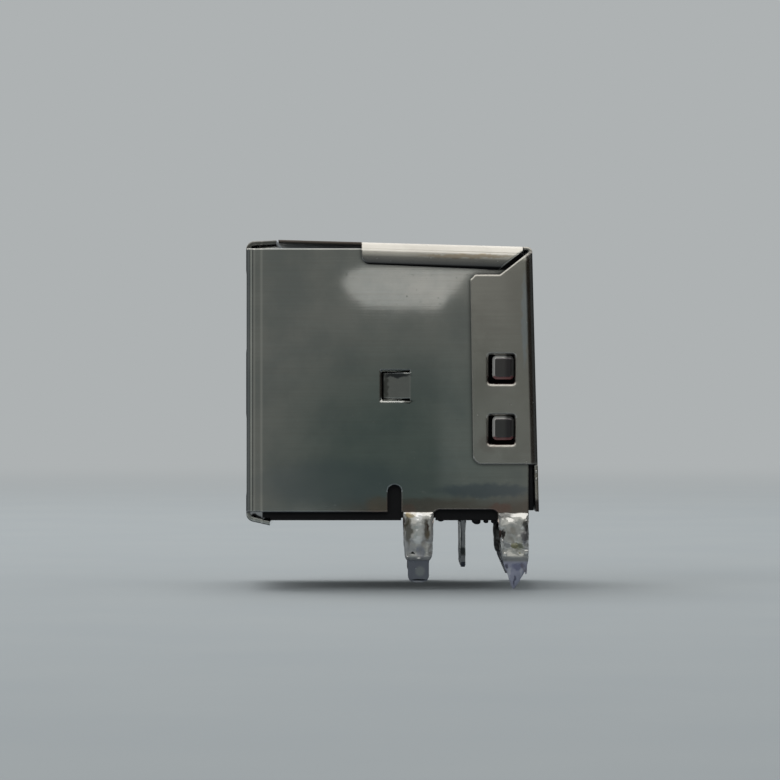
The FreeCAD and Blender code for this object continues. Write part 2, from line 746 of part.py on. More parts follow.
def cover_notches(body):
    """The folded corners are open where the two folds would meet."""
    beyond = FLAP_OUTSIDE + s.cover_sheet
    front, past = COVER_REAR - s.notch_reach, COVER_REAR + s.cover_flare
    notch = new_sketch(body, "notch", "XY_Plane", COVER_TOP - s.notch_depth)
    draw_pair(notch, span(FLAP_INSIDE - s.cover_bend, beyond, front, past))
    return pocket(body, notch, "notches", 4 * s.notch_depth, back=True)


def cover_ends(body):
    """Both plates run on beyond the flaps, only as wide as the front shell."""
    thick = s.cover_sheet
    section = new_sketch(body, "end_section", "YZ_Plane")
    over = [(y, cover_top_at(y)) for y in (COVER_FRONT, -s.top_flap_front)]
    draw(section, over + [(y, z - thick) for y, z in over[::-1]])
    behind = [(cover_rear_at(z), z) for z in (s.side_flap_low, s.cover_bottom)]
    draw(section, behind + [(y - thick, z) for y, z in behind[::-1]])
    pad(body, section, "plate_ends", s.shell_width, symmetric=True)


def cover_folds(body, base):
    """Round the folds between the plates and their flaps, outside and inside."""
    along, upright = Vector(0, 1, 0), Vector(0, 0, 1)
    thick = s.cover_sheet.number

    def fold_at(offset, depth):
        def test(edge):
            spot = edge.BoundBox.Center
            if not near(abs(spot.x), offset) or edge.Length < 1:
                return False
            if straight(edge, along):
                return abs(cover_top_at(spot.y).number - depth - spot.z) < 0.05
            rear = cover_rear_at(spot.z).number - depth - spot.y
            return straight(edge, upright) and abs(rear) < 0.05

        return test

    bend = s.cover_bend
    inner = round_edges(body, base, "inner_folds", bend, fold_at(FLAP_INSIDE, thick))
    outer = fold_at(FLAP_OUTSIDE, 0)
    return round_edges(body, inner, "outer_folds", bend + s.cover_sheet, outer)


def rear_shell():
    body = new_body("rear_shell")
    cover_plates(body)
    cover_flaps(body)
    notches = cover_notches(body)
    cover_folds(body, notches)
    cover_ends(body)
    windows = new_sketch(body, "window_outline", "YZ_Plane")
    length = s.snap_length + 2 * s.window_side
    height = s.snap_height + 2 * s.window_edge
    middle = SNAP_Y - s.window_play
    rows = [z - s.window_play for z in SNAPS]
    for z in rows:
        draw(windows, box(middle, z, length, height, s.window_corner))
    openings = pocket(body, windows, "windows", 3 * FLAP_OUTSIDE, symmetric=True)
    deep, tall = (length / 2 + s.window_edge).number, (height / 2 + s.window_edge).number

    def on_window(edge):
        spot = edge.BoundBox.Center
        level = near(abs(spot.x), FLAP_OUTSIDE) and edge.BoundBox.XLength < 1e-6
        beside = any(abs(spot.z - z.number) < tall for z in rows)
        return level and beside and abs(spot.y - middle.number) < deep

    bevel_edges(body, openings, "window_rolls", s.window_roll, on_window)
    return body


# The housing and the locator


def tongue_under(floor):
    """Height of the contact face of the tongue in the port with that floor."""
    return floor + s.port_height - s.tongue_space - s.tongue_thick


def housing_comb(body):
    """Floor, shelf, roof and the block behind the ports, in one section."""
    wall, rear, base = -s.back_wall, CORE_REAR, s.standoff
    top = WALL_TOP - s.wall_step - s.fit
    shelf_low, shelf_high = SHELF - s.shelf_thick / 2, SHELF + s.shelf_thick / 2
    front = FRONT + s.floor_setback
    section = new_sketch(body, "comb_section", "YZ_Plane")
    corners = [
        (rear, base),
        (rear, top),
        (front, top),
        (front, top - s.roof_thick),
        (wall, top - s.roof_thick),
        (wall, shelf_high),
        (front, shelf_high),
        (front, shelf_low),
        (wall, shelf_low),
        (wall, base + s.floor_thick),
        (front, base + s.floor_thick),
        (front, base),
    ]
    draw(section, corners)
    pad(body, section, "comb", 2 * CORE, symmetric=True)


def housing_tongues(body):
    """A tongue in each port, bevelled at its tip."""
    tip, root = TONGUE_TIP, -s.back_wall + s.tongue_nose
    section = new_sketch(body, "tongue_section", "YZ_Plane")
    for floor in PORTS:
        low = tongue_under(floor)
        high, nose = low + s.tongue_thick, s.tongue_nose
        corners = [
            (root, low),
            (root, high),
            (tip + nose, high),
            (tip, high - nose),
            (tip, low + nose),
            (tip + nose, low),
        ]
        draw(section, corners)
    pad(body, section, "tongues", PORT_WIDTH - 2 * s.tongue_side, symmetric=True)


def housing_chambers(body):
    """Room behind the back wall, and a slot for each contact."""
    rear = new_sketch(body, "chamber_outline", "XZ_Plane", -CORE_REAR)
    top = tongue_under(PORTS[0]) + s.chamber_over
    draw(rear, span(-CHAMBER, CHAMBER, s.standoff - s.fit, top))
    depth = CORE_REAR + s.back_wall - s.back_thick
    pocket(body, rear, "chamber", depth, back=True)
    width = s.beam_width + 2 * s.groove_gap
    start = s.crown_run + s.contact_sheet - CROWN
    grooves = new_sketch(body, "groove_outlines", "XZ_Plane", start)
    for floor in PORTS:
        middle = tongue_under(floor) + s.groove_depth / 2
        for x in COLUMNS:
            draw(grooves, box(x, middle, width, s.groove_depth))
    pocket(body, grooves, "grooves", start + CORE_REAR)
    shafts = new_sketch(body, "shaft_outlines", "XZ_Plane", -CORE_REAR)
    high = tongue_under(PORTS[1]) + s.groove_depth
    low = top - s.groove_gap
    for x in COLUMNS:
        draw(shafts, box(x, (low + high) / 2, width, high - low))
    depth = CORE_REAR - ROWS[1] + s.contact_bend + s.contact_sheet
    pocket(body, shafts, "shafts", depth, back=True)


def housing_notches(body):
    """Notches in the shelf's ends that the lances press into."""
    high = LANCE_Z + s.lance_height / 2 + s.groove_gap
    plan = new_sketch(body, "notch_plan", "XY_Plane", high)
    inner, outer = INSIDE - s.lance_drop - s.groove_gap, INSIDE + s.fit
    left, right = -s.lance_reach - s.lance_cut, -s.lance_root + s.sheet
    draw_pair(plan, span(inner, outer, left, right))
    pocket(body, plan, "notches", s.lance_height + 2 * s.groove_gap)


def housing_feet(body):
    """Feet along the sides and one across the middle, flat on the board."""
    plan = new_sketch(body, "feet_plan", "XY_Plane")
    inner, clear = CORE - s.rail, s.leg_width / 2 + s.foot_clear
    lip_end = FRONT + s.low_lip_reach + s.locator_gap
    draw_pair(plan, span(inner, CORE, lip_end, -clear))
    draw_pair(plan, span(CORE - s.cheek_foot, CORE, clear, CORE_REAR))
    draw(plan, box(0, 0, s.foot_length, s.foot_width))
    pad(body, plan, "feet", s.standoff + s.floor_thick / 2)


def housing():
    body = new_body("housing")
    housing_comb(body)
    housing_tongues(body)
    housing_chambers(body)
    housing_notches(body)
    housing_feet(body)
    return body


def tail_locator():
    """The block that closes the chamber and keeps the tails in their rows."""
    body = new_body("tail_locator")
    plan = new_sketch(body, "locator_plan", "XY_Plane", s.locator_low)
    half, rear = CHAMBER - s.locator_gap, CORE_REAR - s.locator_gap
    draw(plan, span(-half, half, s.row_y - s.locator_lead, rear))
    pad(body, plan, "locator", s.locator_thick)
    holes = new_sketch(body, "tail_holes", "XY_Plane", s.locator_low)
    width = s.tail_width + 2 * s.groove_gap
    depth = s.contact_sheet + 2 * s.groove_gap
    for y in ROWS:
        for x in COLUMNS:
            draw(holes, box(x, y, width, depth))
    pocket(body, holes, "tail_slots", 2 * s.locator_thick, back=True)
    return body


# The contacts


def contact(label, x, row, floor):
    """One contact: tail, fold, beam in the tongue's groove, crown and tip."""
    body = new_body(label)
    face = tongue_under(floor)
    level, crown = face + s.contact_inset, face - s.contact_crown + s.contact_sheet / 2
    section = new_sketch(body, label + "_section", "XY_Plane", -s.tail_depth)
    draw(section, box(x, row, s.beam_width, s.contact_sheet))
    path = new_sketch(body, label + "_path", "YZ_Plane")
    corners = [
        (row, -s.tail_depth),
        (row, level, s.contact_bend),
        (CROWN + s.crown_run, level, 2 * s.contact_bend),
        (CROWN, crown, s.contact_bend),
        (CROWN - s.crown_run, level),
    ]
    draw(path, corners, closed=False)
    pipe(body, section, path, label + "_strip")
    trim = new_sketch(body, label + "_trim", "XZ_Plane", -row)
    narrow, wide = s.tail_width / 2, s.beam_width / 2 + s.contact_sheet
    end = -s.tail_depth - s.contact_sheet
    for side in (-1, 1):
        loop = [
            (x + side * wide, end),
            (x + side * wide, s.tail_shoulder),
            (x + side * narrow, s.tail_shoulder),
            (x + side * narrow, -s.tail_depth + narrow),
            (x + side * narrow / 2, end),
        ]
        draw(trim, loop)
    pocket(body, trim, label + "_trims", 4 * s.contact_sheet, symmetric=True)
    return body


def all_contacts():
    """Four contacts to a port, numbered along X."""
    made = {}
    for level, row, floor in zip(("lower", "upper"), ROWS, PORTS):
        for number, x in enumerate(COLUMNS, start=1):
            name = "%s_contact_%d" % (level, number)
            made[name] = contact(name, x, row, floor), x, row
    return made


# Solder


def bevelled(x, y, depth, width, cut):
    """Corners of a rectangle about (x, y) with its four corners cut off."""
    half, end = depth / 2, width / 2
    quarter = [(half, end - cut), (half - cut, end)]
    upper = quarter + flipped(quarter[::-1])
    lower = [(-a, -b) for a, b in upper]
    return [(x + a, y + b) for a, b in upper + lower]


def blob(body, name, rings):
    """A loft through bevelled rectangles, each (x, y, z, depth, width, cut)."""
    sketches = []
    for number, (x, y, z, *sizes) in enumerate(rings, start=1):
        ring = new_sketch(body, "%s_ring_%d" % (name, number), "XY_Plane", z)
        draw(ring, bevelled(x, y, *sizes))
        sketches.append(ring)
    feature = body.newObject("PartDesign::AdditiveLoft", name)
    feature.Profile = sketches[0]
    feature.Sections = sketches[1:]
    feature.Ruled = True
    return feature


def less(label, body, metal):
    """The solder with the metal it clings to taken out of it."""
    body.Label = label + "_stock"
    cut = doc.addObject("Part::Cut", label)
    cut.Base = body
    cut.Tool = metal
    cut.Label = label
    return cut


def leg_ring(x, y, z, coat, width):
    depth = s.sheet + 2 * coat
    return x, y, z, depth, width + 2 * coat, BEVEL * depth


def leg_solder(label, side, y, shell, peak=False):
    """The sleeve of solder on one leg, drawn out past the tip on one of them."""
    body = new_body(label + "_stock")
    start, end = -s.solder_start, -s.solder_end
    x, coat, edge = side * LEG_X, s.solder_coat, s.solder_edge
    third = (end - start) / 3
    rings = [
        leg_ring(x, y, start, edge, s.leg_shaft_width),
        leg_ring(x, y, start + third, (edge + coat) / 2, s.leg_shaft_width),
        leg_ring(x, y, end - third, coat, s.leg_low_width),
        leg_ring(x, y, end, edge, s.leg_low_width),
    ]
    blob(body, label + "_sleeve", rings)
    if peak:
        knee, tip = -s.leg_knee, -s.leg_depth
        middle, bent = (knee + tip) / 2, side * leg_at(tip)
        waist = (s.leg_tip_width + s.peak_width) / 2
        point = s.point_thick, s.point_width, BEVEL * s.point_thick
        rings = [
            leg_ring(x, y, knee, edge, s.leg_low_width),
            leg_ring(side * leg_at(middle), y, middle, coat, waist),
            leg_ring(bent, y, tip, coat, s.peak_width),
            (bent, y, -s.peak_depth, *point),
        ]
        blob(body, label + "_peak", rings)
    return less(label, body, shell)


def tail_solder(label, x, y, metal):
    """The collar of solder that clings to one tail."""
    body = new_body(label + "_stock")
    start, end = -s.tail_solder_start, -s.tail_solder_end
    levels = {start: s.tail_collar, start - s.tail_collar_run: s.tail_coat}
    rings = []
    for z, coat in {**levels, end: s.tail_coat / 2}.items():
        sizes = s.tail_width + 2 * coat, s.contact_sheet + 2 * coat
        rings.append((x, y, z, *sizes, BEVEL * sizes[1]))
    blob(body, label + "_collar", rings)
    return less(label, body, metal)


def all_solder(shell, contacts):
    made = []
    for side, word in ((-1, "left"), (1, "right")):
        for end, y in (("front", 0), ("rear", s.leg_pitch)):
            label = "leg_solder_%s_%s" % (end, word)
            peak = label == "leg_solder_rear_right"
            made.append(leg_solder(label, side, y, shell, peak))
    for name, (metal, x, row) in contacts.items():
        label = name.replace("contact", "pin_solder")
        made.append(tail_solder(label, x, row, metal))
    return made


def check_objects():
    """Every object is sound, and each pocket takes something away."""
    doc.recompute()
    for thing in doc.Objects:
        if "Invalid" in thing.State or "Error" in thing.State:
            raise RuntimeError("%s failed: %s" % (thing.Name, thing.State))
        if thing.TypeId == "PartDesign::Pocket":
            before, after = thing.BaseFeature.Shape.Volume, thing.Shape.Volume
            if after > before - 1e-6:
                raise RuntimeError("%s takes nothing away" % thing.Name)


def save_parts(parts):
    """Write each sub-part to a file of its own."""
    check_objects()
    os.makedirs("parts", exist_ok=True)
    for part in parts:
        shape = part.Shape
        if shape.isNull() or not shape.isValid() or not shape.Solids:
            raise RuntimeError("%s has no valid solid" % part.Label)
        shape.exportStep("parts/%s.step" % part.Label)
        print(part.Label, len(shape.Solids), round(shape.Volume, 3), shape.BoundBox)


fill_sheet()
shell = front_shell()
cover = rear_shell()
core = housing()
locator = tail_locator()
contacts = all_contacts()
strips = [strip for strip, x, row in contacts.values()]
solder = all_solder(shell, contacts)
save_parts([shell, cover, core, locator] + strips + solder)
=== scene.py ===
import math

import bmesh
import bpy
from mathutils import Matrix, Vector


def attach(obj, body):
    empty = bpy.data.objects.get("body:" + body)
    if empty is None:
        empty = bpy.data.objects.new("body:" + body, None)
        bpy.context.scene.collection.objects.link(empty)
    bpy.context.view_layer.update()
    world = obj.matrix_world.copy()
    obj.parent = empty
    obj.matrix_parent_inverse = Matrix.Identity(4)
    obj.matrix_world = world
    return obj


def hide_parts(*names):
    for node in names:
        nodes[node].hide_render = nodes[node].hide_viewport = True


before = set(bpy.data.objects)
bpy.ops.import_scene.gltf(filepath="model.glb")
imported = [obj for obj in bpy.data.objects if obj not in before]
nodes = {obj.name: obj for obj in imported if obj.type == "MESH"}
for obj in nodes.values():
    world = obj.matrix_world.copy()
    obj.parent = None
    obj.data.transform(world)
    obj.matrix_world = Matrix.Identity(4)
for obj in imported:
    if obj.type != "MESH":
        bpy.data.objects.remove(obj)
bpy.context.view_layer.update()
scene = bpy.context.scene
mm = 0.001
print("stage: frame loaded with", len(nodes), "nodes")


# Finishes

def linear(hexColour):
    shares = [int(hexColour[i:i + 2], 16) / 255 for i in (1, 3, 5)]
    return [c / 12.92 if c <= 0.04045 else ((c + 0.055) / 1.055) ** 2.4 for c in shares] + [1]


def across(size):  # pattern scale that gives features of this size in millimetres
    return 1 / (size * mm)


def addNode(tree, kind, settings={}, inputs={}):
    node = tree.nodes.new(kind)
    for name, value in settings.items():
        setattr(node, name, value)
    for name, value in inputs.items():
        if isinstance(value, bpy.types.NodeSocket):
            tree.links.new(value, node.inputs[name])
        else:
            node.inputs[name].default_value = value
    return node


def newFinish(name):
    finish = bpy.data.materials.new(name)
    finish.use_nodes = True
    finish.node_tree.nodes.clear()
    return finish, finish.node_tree


def inside(tree, limits, most=1.0):  # a soft share; each limit is a value, its start and end
    for value, start, end in limits:
        most = addNode(tree, "ShaderNodeMapRange", {"interpolation_type": "SMOOTHSTEP"}, {
            "Value": value, "From Min": start, "From Max": end, "To Max": most}).outputs["Result"]
    return most


def paint(tree, colour, tone, limits, most=1.0):  # lays a tone over a colour inside such limits
    return addNode(tree, "ShaderNodeMix", {"data_type": "RGBA"}, {
        "Factor": inside(tree, limits, most), "A": colour, "B": tone}).outputs["Result"]


markShake = 0.4  # size of the ragged parts of a mark's limit
markFade = (1.2, 0.55)  # a mark ends and is full at these shares of its half sizes


def addMarks(tree, spot, colour, marks, wobble):  # soft ragged marks seen from the side: stains, painted highlights and painted shade
    shake = addNode(tree, "ShaderNodeTexNoise", {}, {
        "Vector": spot, "Scale": across(markShake), "Detail": 3})
    centred = addNode(tree, "ShaderNodeVectorMath", {"operation": "SUBTRACT"}, {
        0: shake.outputs["Color"], 1: (0.5, 0.5, 0.5)})
    pushed = addNode(tree, "ShaderNodeVectorMath", {"operation": "MULTIPLY_ADD"}, {
        0: centred.outputs["Vector"], 1: [wobble * mm] * 3, 2: spot})
    for y, z, halfY, halfZ, tone, amount in marks:
        off = addNode(tree, "ShaderNodeVectorMath", {"operation": "SUBTRACT"}, {
            0: pushed.outputs["Vector"], 1: (0, y * mm, z * mm)})
        shares = addNode(tree, "ShaderNodeVectorMath", {"operation": "MULTIPLY"}, {
            0: off.outputs["Vector"], 1: (0, across(halfY), across(halfZ))})
        far = addNode(tree, "ShaderNodeVectorMath", {"operation": "LENGTH"}, {
            0: shares.outputs["Vector"]})
        colour = paint(tree, colour, linear(tone), [(far.outputs["Value"], *markFade)], amount)
    return colour


def over(tree, place, slope, level):  # height over a sloping line on the side of the part
    line = addNode(tree, "ShaderNodeMath", {"operation": "MULTIPLY_ADD"}, {
        0: place.outputs["Y"], 1: -slope, 2: -level})
    return addNode(tree, "ShaderNodeMath", {"operation": "ADD"}, {
        0: place.outputs["Z"], 1: line.outputs["Value"]}).outputs["Value"]


# Cold-rolled steel strip, dull nickel plated, then stamped and folded. The plating is a soft
# grey mirror, a little wavy, with cloudy tarnish and a brown tint close to the board.
def platedSteel(name, look):
    finish, tree = newFinish(name)
    spot = addNode(tree, "ShaderNodeTexCoord").outputs["Object"]
    inMm = addNode(tree, "ShaderNodeVectorMath", {"operation": "SCALE"}, {
        0: spot, "Scale": 1 / mm}).outputs["Vector"]
    place = addNode(tree, "ShaderNodeSeparateXYZ", {}, {"Vector": inMm})
    y, z = place.outputs["Y"], place.outputs["Z"]
    flat = addNode(tree, "ShaderNodeNewGeometry").outputs["Normal"]
    ways = addNode(tree, "ShaderNodeSeparateXYZ", {}, {"Vector": flat})
    facing = addNode(tree, "ShaderNodeVectorMath", {"operation": "ABSOLUTE"}, {0: flat})
    faces = addNode(tree, "ShaderNodeSeparateXYZ", {}, {"Vector": facing.outputs["Vector"]})
    sideways = addNode(tree, "ShaderNodeMath", {"operation": "GREATER_THAN"}, {
        0: faces.outputs["X"], 1: 0.6}).outputs["Value"]
    paintedShade = linear(look["paintedShade"])

    clouds = addNode(tree, "ShaderNodeTexNoise", {}, {
        "Vector": spot, "Scale": across(look["tarnishSize"]), "Detail": 4, "Roughness": 0.55})
    colour = paint(tree, linear(look["bright"]), linear(look["dull"]), [
        (clouds.outputs["Fac"], 0.35, 0.7)])
    stretch = addNode(tree, "ShaderNodeMapping", {}, {"Vector": spot, "Scale": (
        across(look["lineSize"]), across(look["lineLength"]), across(look["lineSize"]))})
    lines = addNode(tree, "ShaderNodeTexNoise", {}, {
        "Vector": stretch.outputs["Vector"], "Scale": 1, "Detail": 3})
    dark = addNode(tree, "ShaderNodeMapRange", {}, {
        "Value": lines.outputs["Fac"], "From Min": 0.35, "From Max": 0.65,
        "To Max": look["lineTone"]})
    colour = paint(tree, colour, linear(look["tint"]), [], dark.outputs["Result"])
    # brown tint: strongest at the board, gone a few millimetres up, with a ragged limit
    ragged = addNode(tree, "ShaderNodeMath", {"operation": "MULTIPLY_ADD"}, {
        0: clouds.outputs["Fac"], 1: look["tintRagged"], 2: z})
    nearLegs = [(ragged.outputs["Value"], *look["tintHeight"]), (y, *look["tintAlong"])]
    colour = paint(tree, colour, linear(look["tint"]), nearLegs, look["tintAmount"])
    # pin-head spots where the plating is thin
    grit = addNode(tree, "ShaderNodeTexNoise", {}, {
        "Vector": spot, "Scale": across(look["spotSize"]), "Detail": 2})
    spots = addNode(tree, "ShaderNodeMapRange", {}, {
        "Value": grit.outputs["Fac"], "From Min": 0.71, "From Max": 0.78,
        "To Max": look["spotAmount"]})
    colour = paint(tree, colour, linear(look["spot"]), [], spots.outputs["Result"])
    # painted highlights along the creases of the mouth
    for glintY in look["creaseGlints"]:
        off = addNode(tree, "ShaderNodeMath", {"operation": "SUBTRACT"}, {0: y, 1: glintY})
        away = addNode(tree, "ShaderNodeMath", {"operation": "ABSOLUTE"}, {0: off.outputs["Value"]})
        colour = paint(tree, colour, linear(look["wearAndGlint"]), [
            (away.outputs["Value"], look["creaseGlintWidth"], 0)], look["creaseGlintAmount"])
    # rounded cut edges, where the plating is worn and brighter
    rounding = addNode(tree, "ShaderNodeBevel", {"samples": 6}, {"Radius": look["edge"] * mm})
    turn = addNode(tree, "ShaderNodeVectorMath", {"operation": "DOT_PRODUCT"}, {
        0: rounding.outputs["Normal"], 1: flat})
    wearAndGlint = addNode(tree, "ShaderNodeMapRange", {}, {
        "Value": turn.outputs["Value"], "From Min": 0.995, "From Max": 0.9,
        "To Max": look["wear"]})
    colour = paint(tree, colour, linear(look["wearAndGlint"]), [], wearAndGlint.outputs["Result"])
    # the sides carry stains and tinted patches, painted shadow round the lance and a painted
    # highlight on the cover's rear bend
    blotched = addMarks(tree, spot, colour, look["blotches"], look["ragged"])
    colour = paint(tree, colour, blotched, [], sideways)
    # painted shade darkens gaps and corners
    openSky = addNode(tree, "ShaderNodeAmbientOcclusion", {"samples": 8}, {
        "Distance": look["shadeReach"] * mm})
    deep = addNode(tree, "ShaderNodeMapRange", {}, {
        "Value": openSky.outputs["AO"], "From Min": 0.85, "From Max": 0.35,
        "To Max": look["shadeAmount"]})
    colour = paint(tree, colour, paintedShade, [], deep.outputs["Result"])
    # the mitre of the cover: painted shadow in its gap, and over it the flap that rolls in, with
    # painted shade that deepens to a dark line at its lower edge
    mitre = over(tree, place, *look["mitre"])
    lip = over(tree, place, *look["lip"])
    if look["mitreShade"]:
        beside = addNode(tree, "ShaderNodeMath", {"operation": "ABSOLUTE"}, {0: mitre})
        colour = paint(tree, colour, paintedShade, [
            (beside.outputs["Value"], *look["mitreReach"]), (z, *look["mitreFoot"])],
            look["mitreShade"])
    if look["flapAmount"]:
        onFlap = [(mitre, *look["flapEnd"]), (lip, *look["flapLow"]), (sideways, 0, 1)]
        colour = paint(tree, colour, linear(look["flapShade"]), [
            (lip, *look["flapHeight"])] + onFlap, look["flapAmount"])
        colour = paint(tree, colour, paintedShade, [(lip, *look["lipHeight"])] + onFlap, look["lipShade"])
    # the side faces of the sheared top edges are dark brown, and painted shade darkens the fold
    # behind
    colour = paint(tree, colour, linear(look["brownEdgeAndFoldShade"]), [
        (z, *look["rawHeight"]), (y, *look["rawAlong"]), (sideways, 0, 1)], look["rawAmount"])
    corner = addNode(tree, "ShaderNodeMath", {"operation": "MULTIPLY"}, {
        0: faces.outputs["X"], 1: faces.outputs["Y"]})
    foldShade = addNode(tree, "ShaderNodeMapRange", {}, {
        "Value": corner.outputs["Value"], "From Min": 0.03, "From Max": 0.2,
        "To Max": look["foldShadeAmount"]})
    colour = paint(tree, colour, linear(look["brownEdgeAndFoldShade"]), [], foldShade.outputs["Result"])
    # painted shadow makes the inner face of the cover's foot black
    inward = addNode(tree, "ShaderNodeMath", {"operation": "LESS_THAN"}, {
        0: ways.outputs["Y"], 1: -0.4}).outputs["Value"]
    colour = paint(tree, colour, paintedShade, [
        (z, *look["footHeight"]), (y, *look["footAlong"]), (inward, 0, 1)], look["footShade"])
    # painted shade makes the wall round the snap bumps black; the bumps have dull rims, painted
    # shade on their tops and on their rims towards the rear, and a painted reddish reflection under
    # them
    dulled, snap = 1.0, look["snap"]
    if snap:
        toSnaps = addNode(tree, "ShaderNodeVectorMath", {"operation": "SUBTRACT"}, {
            0: inMm, 1: (0, snap["y"], snap["z"])})
        side = addNode(tree, "ShaderNodeSeparateXYZ", {}, {"Vector": toSnaps.outputs["Vector"]})
        tall = addNode(tree, "ShaderNodeMath", {"operation": "ABSOLUTE"}, {0: side.outputs["Z"]})
        off = addNode(tree, "ShaderNodeMath", {"operation": "SUBTRACT"}, {
            0: tall.outputs["Value"], 1: snap["halfPitch"]})
        fromSnap = addNode(tree, "ShaderNodeCombineXYZ", {}, {
            "Y": side.outputs["Y"], "Z": off.outputs["Value"]})
        away = addNode(tree, "ShaderNodeVectorMath", {"operation": "LENGTH"}, {
            0: fromSnap.outputs["Vector"]})
        outside = addNode(tree, "ShaderNodeMath", {"operation": "ABSOLUTE"}, {
            0: place.outputs["X"]})
        besideSnap = (away.outputs["Value"], *snap["reach"])
        onSnap = (outside.outputs["Value"], *snap["foot"])
        tone = paint(tree, linear(snap["rim"]), paintedShade, [
            (side.outputs["Y"], *snap["rimAlong"])], snap["rimShade"])
        tone = paint(tree, tone, linear(snap["under"]), [
            (ways.outputs["Z"], *snap["underFacing"])], snap["underAmount"])
        tone = paint(tree, paintedShade, tone, [onSnap])
        tone = paint(tree, tone, linear(snap["top"]), [
            (faces.outputs["X"], *snap["topFacing"]), onSnap], snap["topAmount"])
        colour = paint(tree, colour, tone, [besideSnap])
        rubbed = inside(tree, [
            (faces.outputs["X"], *snap["roundFacing"]), onSnap, besideSnap], snap["dull"])
        dulled = addNode(tree, "ShaderNodeMath", {"operation": "SUBTRACT"}, {
            0: 1.0, 1: rubbed}).outputs["Value"]
    # under the board a dull film of solder wets the legs
    film = inside(tree, [(z, *look["filmHeight"])])
    colour = paint(tree, colour, linear(look["film"]), [], film)
    # at each leg's tip a pale spot, a black band and a painted highlight along the rounded end
    colour = addMarks(tree, spot, colour, look["tipMarksAndGlint"], look["endRagged"])
    plating = addNode(tree, "ShaderNodeMapRange", {}, {
        "Value": film, "To Min": dulled, "To Max": look["filmMetal"]})
    # handling marks make the gloss uneven
    smears = addNode(tree, "ShaderNodeTexNoise", {}, {
        "Vector": spot, "Scale": across(look["smearSize"]), "Detail": 6, "Roughness": 0.65})
    gloss = addNode(tree, "ShaderNodeMapRange", {}, {
        "Value": smears.outputs["Fac"], "From Min": 0.3, "From Max": 0.75,
        "To Min": look["gloss"][0], "To Max": look["gloss"][1]})
    dusty = addNode(tree, "ShaderNodeMath", {"operation": "MULTIPLY_ADD"}, {
        0: spots.outputs["Result"], 1: look["spotRough"], 2: gloss.outputs["Result"]})
    filmed = addNode(tree, "ShaderNodeMath", {"operation": "MULTIPLY_ADD"}, {
        0: film, 1: look["filmRough"], 2: dusty.outputs["Value"]})
    # the strip is never quite flat, and carries the fine lines of the rolls along its length
    waves = addNode(tree, "ShaderNodeTexNoise", {}, {
        "Vector": spot, "Scale": across(look["waveSize"]), "Detail": 1})
    wavy = addNode(tree, "ShaderNodeBump", {}, {
        "Height": waves.outputs["Fac"], "Strength": 1, "Distance": look["waveDepth"] * mm,
        "Normal": rounding.outputs["Normal"]})
    normal = addNode(tree, "ShaderNodeBump", {}, {
        "Height": lines.outputs["Fac"], "Strength": 1, "Distance": look["lineDepth"] * mm,
        "Normal": wavy.outputs["Normal"]}).outputs["Normal"]
    if look["rollDepth"]:  # the flaps of the cover roll gently into its top
        climb = addNode(tree, "ShaderNodeMapRange", {}, {
            "Value": lip, "From Min": look["rollHeight"][0], "From Max": look["rollHeight"][1]})
        square = addNode(tree, "ShaderNodeMath", {"operation": "POWER"}, {
            0: climb.outputs["Result"], 1: 2})
        normal = addNode(tree, "ShaderNodeBump", {"invert": True}, {
            "Height": square.outputs["Value"], "Strength": 1, "Distance": look["rollDepth"] * mm,
            "Normal": normal}).outputs["Normal"]
    shader = addNode(tree, "ShaderNodeBsdfPrincipled", {}, {
        "Base Color": colour, "Metallic": plating.outputs["Result"],
        "Roughness": filmed.outputs["Value"], "Normal": normal})
    addNode(tree, "ShaderNodeOutputMaterial", {}, {"Surface": shader.outputs["BSDF"]})
    return finish


